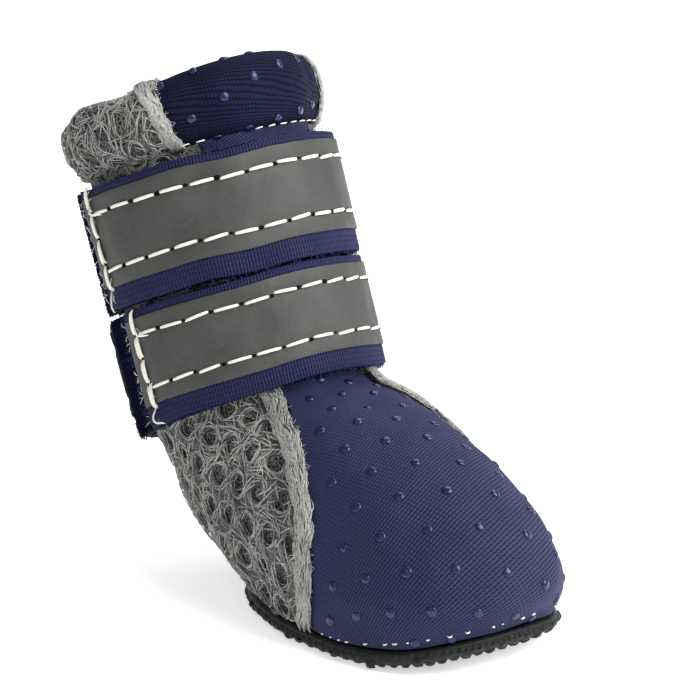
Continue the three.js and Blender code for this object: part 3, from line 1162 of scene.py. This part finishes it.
def tread_model():
    """One lozenge of the tread, with a flat top."""
    bpy.ops.mesh.primitive_cone_add(vertices=4, radius1=1.32 * MM, radius2=0.62 * MM, depth=0.75 * MM)
    lozenge = named("lozenge")
    finish_with(lozenge, "BEVEL", width=0.12 * MM, segments=1)
    return lozenge


def make_sole():
    """The rubber sole, with a rough rim, and lozenges on its underside and round its edge."""
    chance = random.Random(5)
    sole = copy_node("sole", "sole_rubber")
    finish_with(sole, "SUBSURF", subdivision_type="SIMPLE", levels=2, render_levels=2)
    places = positions(sole)
    outward = normals(sole)
    under = outward[:, 2] < -0.5
    places[under, 2] += 0.62 * MM
    rim = np.abs(outward[:, 2]) < 0.75
    x, y, _ = places.T
    rough = np.sin(x * 2900) * np.sin(y * 2500 + 1) + 0.6 * np.sin(x * 5100 + y * 4300)
    places += outward * (rim * rough * 0.13 * MM)[:, None]
    move_to(sole, places)
    tree = BVHTree.FromObject(sole, bpy.context.evaluated_depsgraph_get())

    frames = []
    step = 1.42 * MM
    for i in range(-28, 29):
        for j in range(-20, 21):
            if (i + j) % 2:
                continue
            x = 1 * MM + i * step
            y = j * step * 0.86
            place, normal, _, _ = tree.ray_cast(Vector((x, y, -0.02)), Vector((0, 0, 1)))
            if place is None or normal.z > -0.4:
                continue
            size = chance.uniform(0.94, 1.03)
            size = (size, size * 0.9, 1)
            frames.append(standing_frame(place + normal * 0.2 * MM, normal, math.pi / 4, size))
    centre = Vector((1, 0, 0)) * MM
    for row, height in enumerate((1.7, 3.1)):
        for k in range(120):
            a = (k + 0.5 * row) * 2 * math.pi / 120
            way = Vector((math.cos(a), math.sin(a) * 0.7, 0)).normalized()
            start = centre + way * 0.06 + Vector((0, 0, height * MM + rim_lift(centre + way * 0.03)))
            place, normal, _, _ = tree.ray_cast(start, -way)
            if place is None or place.z > 5.6 * MM:
                continue
            size = chance.uniform(0.55, 0.8)
            frames.append(standing_frame(place - normal * 0.05 * MM, normal, 0.8, (size, size, 0.6)))
    tread = many(tread_model(), "sole_tread", frames)
    places = positions(tread)
    places[:, 2] = np.maximum(places[:, 2], 0)
    move_to(tread, places)
    smooth(sole, 50)
    smooth(tread, 30)
    return sole, tread


def rim_lift(place):
    """How far the sole's edge is off the floor, towards its sprung toe."""
    return max(0, (place.x - 13 * MM)) ** 2 / (17 * MM) ** 2 * 3.0 * MM


def edge_stitches(skin_tree):
    """Small stitches where the vamp meets the sole."""
    frames = []
    chance = random.Random(77)
    for k in range(46):
        a = math.radians(-88 + k * 176 / 45 + chance.uniform(-0.7, 0.7))
        way = Vector((math.cos(a) * 1.0, math.sin(a) * 0.75, 0)).normalized()
        centre = Vector((4, 0, 0)) * MM
        lift = rim_lift(centre + way * 0.03)
        start = centre + way * 0.08 + Vector((0, 0, 3.5 * MM + lift))
        place, normal, _, _ = skin_tree.ray_cast(start, -way)
        if place is None or chance.random() < 0.55:
            continue
        long = chance.uniform(0.1, 0.2)
        place += normal * chance.uniform(-0.16, 0.02) * MM
        frames.append(stitch_frame(place, Vector((0, 0, 1)), normal, 0.2, (long, 0.45, 0.6)))
    return many(stitch_model(), "edge_stitches", frames)


def make_insole():
    insole = copy_node("insole", "insole_pad")
    refine(insole, 1)
    smooth(insole)
    return insole


def collar_stitches():
    """The row of stitches below the collar's roll."""
    frames = []
    chance = random.Random(12)
    for k in range(13):
        a = math.radians(-44 + k * 88 / 12)
        if chance.random() < 0.42:
            continue
        station = np.array([75.6 * MM + (0.5 * MM * (1 + math.cos(a)) / 2)])
        spot = on_shaft(np.array([a]), station, np.array([1.0 * MM]))[0]
        out = on_shaft(np.array([a]), station, np.array([2.0 * MM]))[0] - spot
        turn = chance.uniform(0, 0.15)
        normal = Vector(out).normalized()
        frames.append(stitch_frame(Vector(spot), UP_SHAFT, normal, turn, (0.32, 0.42, 0.45)))
    return many(stitch_model(), "collar_stitches", frames)


# ---------------------------------------------------------------- materials


def srgb(r, g, b):
    """A colour from its everyday 0 to 255 numbers, as the shader wants it."""
    def channel(value):
        value /= 255
        return value / 12.92 if value <= 0.04045 else ((value + 0.055) / 1.055) ** 2.4
    return channel(r), channel(g), channel(b), 1.0


class Nodes:
    """Short ways to add and wire the nodes of one tree."""

    def __init__(self, tree):
        self.tree = tree

    def add(self, kind, **settings):
        node = self.tree.nodes.new(kind)
        for key, value in settings.items():
            setattr(node, key, value)
        return node

    def wire(self, source, target):
        self.tree.links.new(source, target)

    def feed(self, socket, value):
        if isinstance(value, bpy.types.NodeSocket):
            self.wire(value, socket)
        else:
            socket.default_value = value

    def math(self, operation, *values):
        node = self.add("ShaderNodeMath", operation=operation)
        for socket, value in zip(node.inputs, values):
            self.feed(socket, value)
        return node.outputs[0]

    def times(self, first, second):
        return self.math("MULTIPLY", first, second)

    def plus(self, first, second):
        return self.math("ADD", first, second)

    def noise(self, place, scale, detail=2.0, roughness=0.5):
        node = self.add("ShaderNodeTexNoise")
        self.feed(node.inputs["Vector"], place)
        self.feed(node.inputs["Scale"], scale)
        node.inputs["Detail"].default_value = detail
        node.inputs["Roughness"].default_value = roughness
        return node.outputs["Fac"]

    def mix(self, share, first, second):
        node = self.add("ShaderNodeMix", data_type="RGBA")
        self.feed(node.inputs[0], share)
        self.feed(node.inputs[6], first)
        self.feed(node.inputs[7], second)
        return node.outputs[2]

    def remap(self, value, low, high, to_low=0.0, to_high=1.0):
        node = self.add("ShaderNodeMapRange", interpolation_type="SMOOTHSTEP")
        for socket, number in zip(node.inputs, (value, low, high, to_low, to_high)):
            self.feed(socket, number)
        return node.outputs[0]

    def bump(self, height, strength, distance, normal=None):
        node = self.add("ShaderNodeBump")
        self.feed(node.inputs["Height"], height)
        node.inputs["Strength"].default_value = strength
        node.inputs["Distance"].default_value = distance
        if normal is not None:
            self.wire(normal, node.inputs["Normal"])
        return node.outputs[0]

    def pattern(self):
        """The place on the piece's own flat pattern, in millimetres."""
        return self.scaled(self.add("ShaderNodeUVMap", uv_map="pattern").outputs[0])

    def scaled(self, place):
        node = self.add("ShaderNodeVectorMath", operation="SCALE")
        self.feed(node.inputs[0], place)
        node.inputs["Scale"].default_value = 1 / MM
        return node.outputs[0]

    def scaled_by(self, colour, level):
        node = self.add("ShaderNodeVectorMath", operation="SCALE")
        self.wire(colour, node.inputs[0])
        self.wire(level, node.inputs["Scale"])
        return node.outputs[0]

    def object_place(self):
        """The place on the boot, in millimetres."""
        return self.scaled(self.add("ShaderNodeTexCoord").outputs["Object"])

    def cells(self, place, scale, **settings):
        node = self.add("ShaderNodeTexVoronoi", **settings)
        self.wire(place, node.inputs["Vector"])
        node.inputs["Scale"].default_value = scale
        return node.outputs["Distance"]

    def split(self, place):
        node = self.add("ShaderNodeSeparateXYZ")
        self.feed(node.inputs[0], place)
        return node.outputs


def new_material(name, roughness=0.9, sheen=0.0, sheen_tint=(1, 1, 1, 1), gloss=0.12):
    """A material, the nodes to fill it in, and its Principled shader. Cloth has little gloss."""
    material = bpy.data.materials.new(name)
    material.use_nodes = True
    shader = material.node_tree.nodes["Principled BSDF"]
    shader.inputs["Roughness"].default_value = roughness
    shader.inputs["Sheen Weight"].default_value = sheen
    shader.inputs["Sheen Tint"].default_value = sheen_tint
    shader.inputs["Specular IOR Level"].default_value = gloss
    return material, Nodes(material.node_tree), shader


def dress(piece, material):
    """Gives a finished piece its material, and lets it ride with the boot."""
    piece.data.materials.clear()
    piece.data.materials.append(material)
    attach(piece, "root")


# ---------------------------------------------------------------- effects that several materials share


def new_group(name, inputs, outputs):
    tree = bpy.data.node_groups.new(name, "ShaderNodeTree")
    for way, sockets in (("INPUT", inputs), ("OUTPUT", outputs)):
        for label, kind in sockets:
            tree.interface.new_socket(label, in_out=way, socket_type=kind)
    nodes = Nodes(tree)
    return tree, nodes, nodes.add("NodeGroupInput").outputs, nodes.add("NodeGroupOutput").inputs


VECTOR = "NodeSocketVector"
NUMBER = "NodeSocketFloat"
COLOUR = "NodeSocketColor"


def make_shade_variation():
    """Soft patches of lighter and darker cloth, with fine specks."""
    tree, nodes, given, out = new_group(
        "shade_variation",
        [("Place", VECTOR), ("Colour", COLOUR), ("Patches", NUMBER), ("Specks", NUMBER)],
        [("Colour", COLOUR)],
    )
    patches = nodes.noise(given["Place"], 0.13, 3)
    specks = nodes.noise(given["Place"], 3.1, 2, 0.7)
    first = nodes.times(nodes.math("SUBTRACT", patches, 0.5), given["Patches"])
    second = nodes.times(nodes.math("SUBTRACT", specks, 0.5), given["Specks"])
    level = nodes.times(nodes.plus(first, second), 4.0)
    level = nodes.math("MAXIMUM", nodes.plus(level, 1.0), 0.05)
    nodes.wire(nodes.scaled_by(given["Colour"], level), out["Colour"])
    return tree


def make_rib_weave():
    """Close ribs across a cloth, broken by a second, finer thread."""
    tree, nodes, given, out = new_group(
        "rib_weave",
        [("Place", VECTOR), ("Rib", NUMBER), ("Cross", NUMBER), ("Slant", NUMBER)],
        [("Height", NUMBER), ("Groove", NUMBER)],
    )
    place = nodes.split(given["Place"])
    waver = nodes.times(nodes.math("SUBTRACT", nodes.noise(given["Place"], 0.4), 0.5), 0.3)
    across = nodes.plus(place[1], nodes.plus(nodes.times(place[0], given["Slant"]), waver))
    turn = nodes.times(nodes.math("DIVIDE", across, given["Rib"]), 6.2832)
    rib = nodes.math("ABSOLUTE", nodes.math("SINE", nodes.times(turn, 0.5)))
    shift = nodes.times(nodes.math("SINE", turn), 0.5)
    along = nodes.times(nodes.math("DIVIDE", place[0], given["Cross"]), 6.2832)
    cross = nodes.times(nodes.plus(nodes.math("SINE", nodes.plus(along, shift)), 1.0), 0.5)
    height = nodes.plus(nodes.times(rib, 0.7), nodes.times(cross, 0.3))
    nodes.wire(height, out["Height"])
    nodes.wire(nodes.remap(height, 0.25, 0.75), out["Groove"])
    return tree


def make_yarn_grain():
    """Fine twisted fibres, for yarn, thread and pile."""
    tree, nodes, given, out = new_group(
        "yarn_grain",
        [("Place", VECTOR), ("Scale", NUMBER)],
        [("Height", NUMBER), ("Shade", NUMBER)],
    )
    fine = nodes.noise(given["Place"], given["Scale"], 3, 0.7)
    wave = nodes.add("ShaderNodeTexWave", wave_type="BANDS", bands_direction="DIAGONAL")
    nodes.wire(given["Place"], wave.inputs["Vector"])
    nodes.wire(nodes.times(given["Scale"], 0.6), wave.inputs["Scale"])
    wave.inputs["Distortion"].default_value = 6.0
    height = nodes.plus(nodes.times(fine, 0.6), nodes.times(wave.outputs["Fac"], 0.4))
    nodes.wire(height, out["Height"])
    nodes.wire(nodes.remap(fine, 0.3, 0.7), out["Shade"])
    return tree


GROUPS = {}


def effect(nodes, name, **values):
    """Places one of the shared effects in a material, with its own values."""
    if not GROUPS:
        GROUPS["shade_variation"] = make_shade_variation()
        GROUPS["rib_weave"] = make_rib_weave()
        GROUPS["yarn_grain"] = make_yarn_grain()
    node = nodes.add("ShaderNodeGroup", node_tree=GROUPS[name])
    for label, value in values.items():
        nodes.feed(node.inputs[label], value)
    return node.outputs


def shaded(nodes, place, colour, patches, specks):
    """A colour with its soft patches and specks."""
    given = dict(Place=place, Colour=colour, Patches=patches, Specks=specks)
    return effect(nodes, "shade_variation", **given)["Colour"]


def finish_look(material, nodes, colour, normal, rough=None):
    """Wires what varies over a cloth into its material's shader."""
    sockets = material.node_tree.nodes["Principled BSDF"].inputs
    nodes.wire(colour, sockets["Base Color"])
    nodes.wire(normal, sockets["Normal"])
    if rough is not None:
        nodes.wire(rough, sockets["Roughness"])
    return material


# ---------------------------------------------------------------- the boot's materials


def knit_material(name, colour, groove_shade_colour, sheen=0.06, gloss=0.2):
    material, nodes, _ = new_material(name, 0.78, sheen, srgb(120, 130, 190), gloss)
    place = nodes.pattern()
    weave = effect(nodes, "rib_weave", Place=place, Rib=0.48, Cross=0.62, Slant=0.1)
    shade = shaded(nodes, nodes.object_place(), colour, 0.25, 0.3)
    # painted shade: the grooves between the ribs are darkened towards groove_shade_colour
    dark = nodes.mix(0.85, shade, groove_shade_colour)
    colour = nodes.mix(weave["Groove"], dark, shade)
    rough = nodes.remap(weave["Height"], 0, 1, 0.9, 0.62)
    normal = nodes.bump(weave["Height"], 0.75, 0.0002)
    return finish_look(material, nodes, colour, normal, rough)


def dot_material():
    material, nodes, shader = new_material("glossy_dots", 0.26, gloss=0.25)
    shader.inputs["Coat Weight"].default_value = 0.25
    shader.inputs["Coat Roughness"].default_value = 0.08
    shade = shaded(nodes, nodes.object_place(), srgb(18, 23, 66), 0.2, 0.1)
    normal = nodes.bump(nodes.noise(nodes.object_place(), 2.5), 0.2, 0.0001)
    return finish_look(material, nodes, shade, normal)


def mesh_material(name, colour, gap_shade_colour, roughness=0.75):
    """Grey spacer mesh: speckled yarn, with painted shade between the threads."""
    material, nodes, _ = new_material(name, roughness)
    place = nodes.object_place()
    grain = effect(nodes, "yarn_grain", Place=place, Scale=2.6)
    thread = nodes.remap(nodes.cells(place, 1.7, feature="DISTANCE_TO_EDGE"), 0.02, 0.22, 1, 0)
    shade = shaded(nodes, place, colour, 0.2, 0.35)
    mask = nodes.math("MAXIMUM", thread, nodes.times(grain["Shade"], 0.55))
    # painted shade: darker colour between the threads, broken up by the yarn's grain
    colour = nodes.mix(mask, gap_shade_colour, shade)
    height = nodes.plus(thread, nodes.times(grain["Height"], 0.5))
    normal = nodes.bump(height, 0.9, 0.0003)
    return finish_look(material, nodes, colour, normal)


def yarn_material(name, colour, scale=5.0, roughness=0.62, patches=0.2, specks=0.4):
    material, nodes, _ = new_material(name, roughness)
    place = nodes.object_place()
    grain = effect(nodes, "yarn_grain", Place=place, Scale=scale)
    shade = shaded(nodes, place, colour, patches, specks)
    normal = nodes.bump(grain["Height"], 0.5, 0.00012)
    return finish_look(material, nodes, shade, normal)


def webbing_material():
    material, nodes, _ = new_material("navy_webbing", 0.8, 0.04, srgb(120, 120, 190))
    place = nodes.pattern()
    crossed = nodes.add("ShaderNodeCombineXYZ")
    parts = nodes.split(place)
    nodes.wire(parts[1], crossed.inputs[0])
    nodes.wire(parts[0], crossed.inputs[1])
    weave = effect(nodes, "rib_weave", Place=crossed.outputs[0], Rib=0.55, Cross=0.9, Slant=0.0)
    shade = shaded(nodes, nodes.object_place(), srgb(35, 37, 70), 0.2, 0.3)
    # painted shade: the grooves of the weave are darkened towards a deep navy
    dark = nodes.mix(0.8, shade, srgb(9, 9, 30))
    colour = nodes.mix(weave["Groove"], dark, shade)
    rough = nodes.remap(weave["Height"], 0, 1, 0.92, 0.7)
    normal = nodes.bump(weave["Height"], 0.8, 0.0002)
    return finish_look(material, nodes, colour, normal, rough)


def tape_material():
    """Grey reflective tape: a fine beaded surface with a satin look, rubbed here and there."""
    material, nodes, _ = new_material("grey_tape", 0.6, gloss=0.3)
    place = nodes.pattern()
    shade = shaded(nodes, place, srgb(61, 62, 60), 0.24, 0.18)
    rubs = nodes.remap(nodes.noise(place, 0.45, 5, 0.75), 0.55, 0.75)
    colour = nodes.mix(nodes.times(rubs, 0.25), shade, srgb(100, 100, 97))
    rough = nodes.remap(rubs, 0, 1, 0.56, 0.7)
    beads = nodes.bump(nodes.cells(place, 4.2), 0.35, 0.00006)
    normal = nodes.bump(nodes.noise(place, 0.6, 4), 0.3, 0.0004, beads)
    return finish_look(material, nodes, colour, normal, rough)


def velvet_material():
    material, nodes, _ = new_material("navy_velvet", 0.95, 0.08, srgb(70, 75, 130))
    place = nodes.object_place()
    grain = effect(nodes, "yarn_grain", Place=place, Scale=3.2)
    shade = shaded(nodes, place, srgb(24, 25, 66), 0.3, 0.5)
    colour = nodes.mix(grain["Shade"], srgb(5, 6, 26), shade)
    normal = nodes.bump(grain["Height"], 0.8, 0.0004)
    return finish_look(material, nodes, colour, normal)


def rubber_material():
    material, nodes, _ = new_material("black_rubber", 0.55, gloss=0.2)
    place = nodes.object_place()
    shade = shaded(nodes, place, srgb(19, 20, 21), 0.3, 0.3)
    dust = nodes.remap(nodes.noise(place, 0.9, 5, 0.7), 0.52, 0.75)
    colour = nodes.mix(nodes.times(dust, 0.12), shade, srgb(62, 64, 67))
    rough = nodes.remap(dust, 0, 1, 0.45, 0.7)
    normal = nodes.bump(nodes.noise(place, 2.4, 4, 0.7), 0.5, 0.0003)
    return finish_look(material, nodes, colour, normal, rough)


def lining_material(name, colour):
    material, nodes, _ = new_material(name, 0.9)
    place = nodes.object_place()
    shade = shaded(nodes, place, colour, 0.4, 0.3)
    thread = nodes.remap(nodes.cells(place, 1.5, feature="DISTANCE_TO_EDGE"), 0.03, 0.2, 1, 0)
    # painted shade: the cloth between the threads is darkened to a deep grey
    colour = nodes.mix(thread, srgb(50, 50, 51), shade)
    normal = nodes.bump(thread, 0.8, 0.0003)
    return finish_look(material, nodes, colour, normal)


# ---------------------------------------------------------------- camera, light and floor


def way_out(azimuth, height):
    """The way from the boot to a lamp or a camera, from degrees round it and degrees up."""
    turn = math.radians(azimuth)
    lift = math.radians(height)
    return Vector((math.sin(turn) * math.cos(lift), -math.cos(turn) * math.cos(lift), math.sin(lift)))


def make_stage():
    bpy.ops.mesh.primitive_plane_add(size=6)
    floor = named("floor")
    paper, _, shader = new_material("floor_paper", 1.0, gloss=0)
    shader.inputs["Base Color"].default_value = (0.92, 0.92, 0.92, 1)
    shader.inputs["Emission Color"].default_value = (1, 1, 1, 1)
    shader.inputs["Emission Strength"].default_value = 0.56
    floor.data.materials.append(paper)

    world = bpy.data.worlds.new("studio")
    bpy.context.scene.world = world
    world.use_nodes = True
    nodes = Nodes(world.node_tree)
    seen = nodes.add("ShaderNodeLightPath").outputs["Is Camera Ray"]
    background = world.node_tree.nodes["Background"]
    background.inputs[0].default_value = (1, 1, 1, 1)
    nodes.wire(nodes.remap(seen, 0, 1, 0.34, 1.0), background.inputs[1])
    bpy.context.scene.view_settings.view_transform = "Standard"

    aim = Vector((-12, 0, 42)) * MM
    for name, azimuth, height, distance, size, power in (
        ("key", 118, 42, 0.8, 0.7, 12.0),
        ("fill", 20, 35, 1.0, 0.8, 1.6),
        ("back", 215, 50, 0.9, 0.6, 3.0),
    ):
        way = way_out(azimuth, height)
        bpy.ops.object.light_add(type="AREA", location=aim + way * distance)
        lamp = bpy.context.object
        lamp.name = name
        lamp.data.size = size
        lamp.data.energy = power
        lamp.rotation_euler = way.to_track_quat("Z", "Y").to_euler()


def make_camera():
    """Stands where the whole boot fills most of the picture, in front of its right side."""
    way = way_out(50, 16)
    aim = Vector((-10, 0, 42.3)) * MM
    bpy.ops.object.camera_add(location=aim + way * 0.62)
    camera = bpy.context.object
    camera.rotation_euler = way.to_track_quat("Z", "Y").to_euler()
    camera.data.lens = 200
    camera.data.sensor_width = 36
    camera.data.clip_start = 0.01
    bpy.context.scene.camera = camera


# ---------------------------------------------------------------- the boot



def mesh_gap(sign):
    """Gives a panel test for the mesh on one side: behind the seam, and on that half of the boot."""
    return lambda places: np.minimum(-seam_gap(places), places[:, 1] * sign)


def dress_mesh(cloth, yarn):
    """Dresses a piece of mesh, or a folded edge of it, and its yarn."""
    dress(cloth, mesh_ground)
    dress(yarn, mesh_yarn)


skin, lining = split_upper()
knit_panel = make_panel(skin, "knit_panel", seam_gap, Vector((8, 0, 33)) * MM)
mesh_panels = {}
for side, sign in SIDES:
    middle = Vector((-12, 19 * sign, 18)) * MM
    mesh_panels[side] = make_panel(skin, f"mesh_pattern_{side}", mesh_gap(sign), middle)
skin_tree = BVHTree.FromObject(skin, bpy.context.evaluated_depsgraph_get())
bpy.data.objects.remove(skin)

knit = knit_material("navy_knit", srgb(37, 42, 76), srgb(8, 10, 28))
# painted shade: a darker copy of the navy knit for the collar, whose cloth is the same as the vamp's
collar_knit_shaded = knit_material("collar_knit", srgb(15, 18, 44), srgb(4, 5, 15), 0.02, 0.08)
dots = dot_material()
mesh_ground = mesh_material("mesh_ground", srgb(126, 126, 124), srgb(70, 70, 71))
mesh_yarn = yarn_material("mesh_yarn", srgb(162, 162, 159))
dark = lining_material("dark_lining", srgb(104, 104, 101))
mesh_under = lining_material("mesh_underside", srgb(126, 126, 123))
webbing = webbing_material()
webbing_fray = yarn_material("webbing_fray", srgb(44, 46, 90), 5, 0.8)
tape_grey = tape_material()
thread = yarn_material("stitch_thread", srgb(226, 224, 214), 4, 0.55, 0.05, 0.15)
# painted shade: near black for the inside of the needle's holes
needle_hole_shade = yarn_material("needle_hole", srgb(9, 9, 10), 4, 0.95, 0.05, 0.1)
velvet = velvet_material()
rubber = rubber_material()

crease(knit_panel)
snap_to_seam(knit_panel, seam_gap)
smooth(knit_panel)
dress(knit_panel, knit)
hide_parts("upper")
knit_dots = dots_on(
    Cloth(knit_panel), "knit_dots",
    lambda place: seam_gap(place[None])[0] > 2.2 * MM and place[2] > 4.5 * MM and place[2] < 42 * MM,
)
dress(knit_dots, dots)

for side, sign in SIDES:
    panel = mesh_panels[side]
    crease(panel)
    snap_to_seam(panel, mesh_gap(sign))
    line, outward = seam_line(skin_tree, sign)
    dress_mesh(*seam_edge(line, outward, seam_gap, f"seam_edge_{side}", 40 + sign))
    sheet, yarn = mesh_cloth(
        Cloth(panel), f"mesh_panel_{side}", HOLE_PITCH, 0.0, 60 + sign,
        holes_at=lambda place: place[2] < 36 * MM or place[2] > 68 * MM, lean=-HOLE_LEAN * sign,
        gap=seam_gap,
    )
    trim(sheet, lambda places: seam_gap(places) < 2 * MM)
    dress_mesh(sheet, yarn)
    move_to(panel, positions(panel) - normals(panel) * 1.05 * MM)
    trim(panel, lambda places: seam_gap(places) < -0.5 * MM)
    drop_crumbs(panel)
    panel.name = f"mesh_backing_{side}"
    smooth(panel)
    dress(panel, mesh_under)

line, outward = heel_fold_line(skin_tree)
dress_mesh(*seam_edge(line, outward, lambda places: places[:, 1], "heel_fold", 45, 1.0 * MM, 0.3 * MM))

drop_crumbs(lining, 20)
refine(lining, 1)
move_to(lining, positions(lining) + normals(lining) * 1.2 * MM)
smooth(lining)
dress(lining, dark)

for name, strap in STRAPS.items():
    band, tape, rows, holes, fray, fibres = strap_set(name, strap)
    dress(band, webbing)
    dress(tape, tape_grey)
    dress(rows, thread)
    dress(holes, needle_hole_shade)
    dress(fray, webbing_fray)
    dress(fibres, thread)
    pad, pile = velvet_band(name, strap)
    dress(pad, velvet)
    dress(pile, velvet)
    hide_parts(f"hook_strap_{name}")
    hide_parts(f"loop_tape_{name}")

collar_knit, collar_pad = make_collar()
collar_dots = dots_on(
    Cloth(collar_knit), "collar_dots",
    lambda place: collar_seam(place[None])[0] > 1.6 * MM, seed=9,
)
for piece in (collar_knit, collar_pad):
    edit(piece, "EDGE")
    bpy.ops.mesh.fill_holes(sides=0)
    leave_edit()
    smooth(piece)
dress(collar_knit, collar_knit_shaded)
dress(collar_dots, dots)
dress(collar_pad, dark)
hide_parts("collar")
collar_mesh = collar_mesh_panel()
for side, sign in SIDES:
    line, outward = collar_seam_line(sign)
    name = f"collar_edge_{side}"
    dress_mesh(*seam_edge(line, outward, collar_seam, name, 50 + sign, 1.1 * MM, 0.5 * MM))
dress_mesh(*collar_mesh)
dress(collar_stitches(), thread)

sole, tread = make_sole()
dress(sole, rubber)
dress(tread, rubber)
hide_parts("sole")
dress(edge_stitches(skin_tree), thread)
insole = make_insole()
dress(insole, dark)
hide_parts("insole")

make_stage()
make_camera()
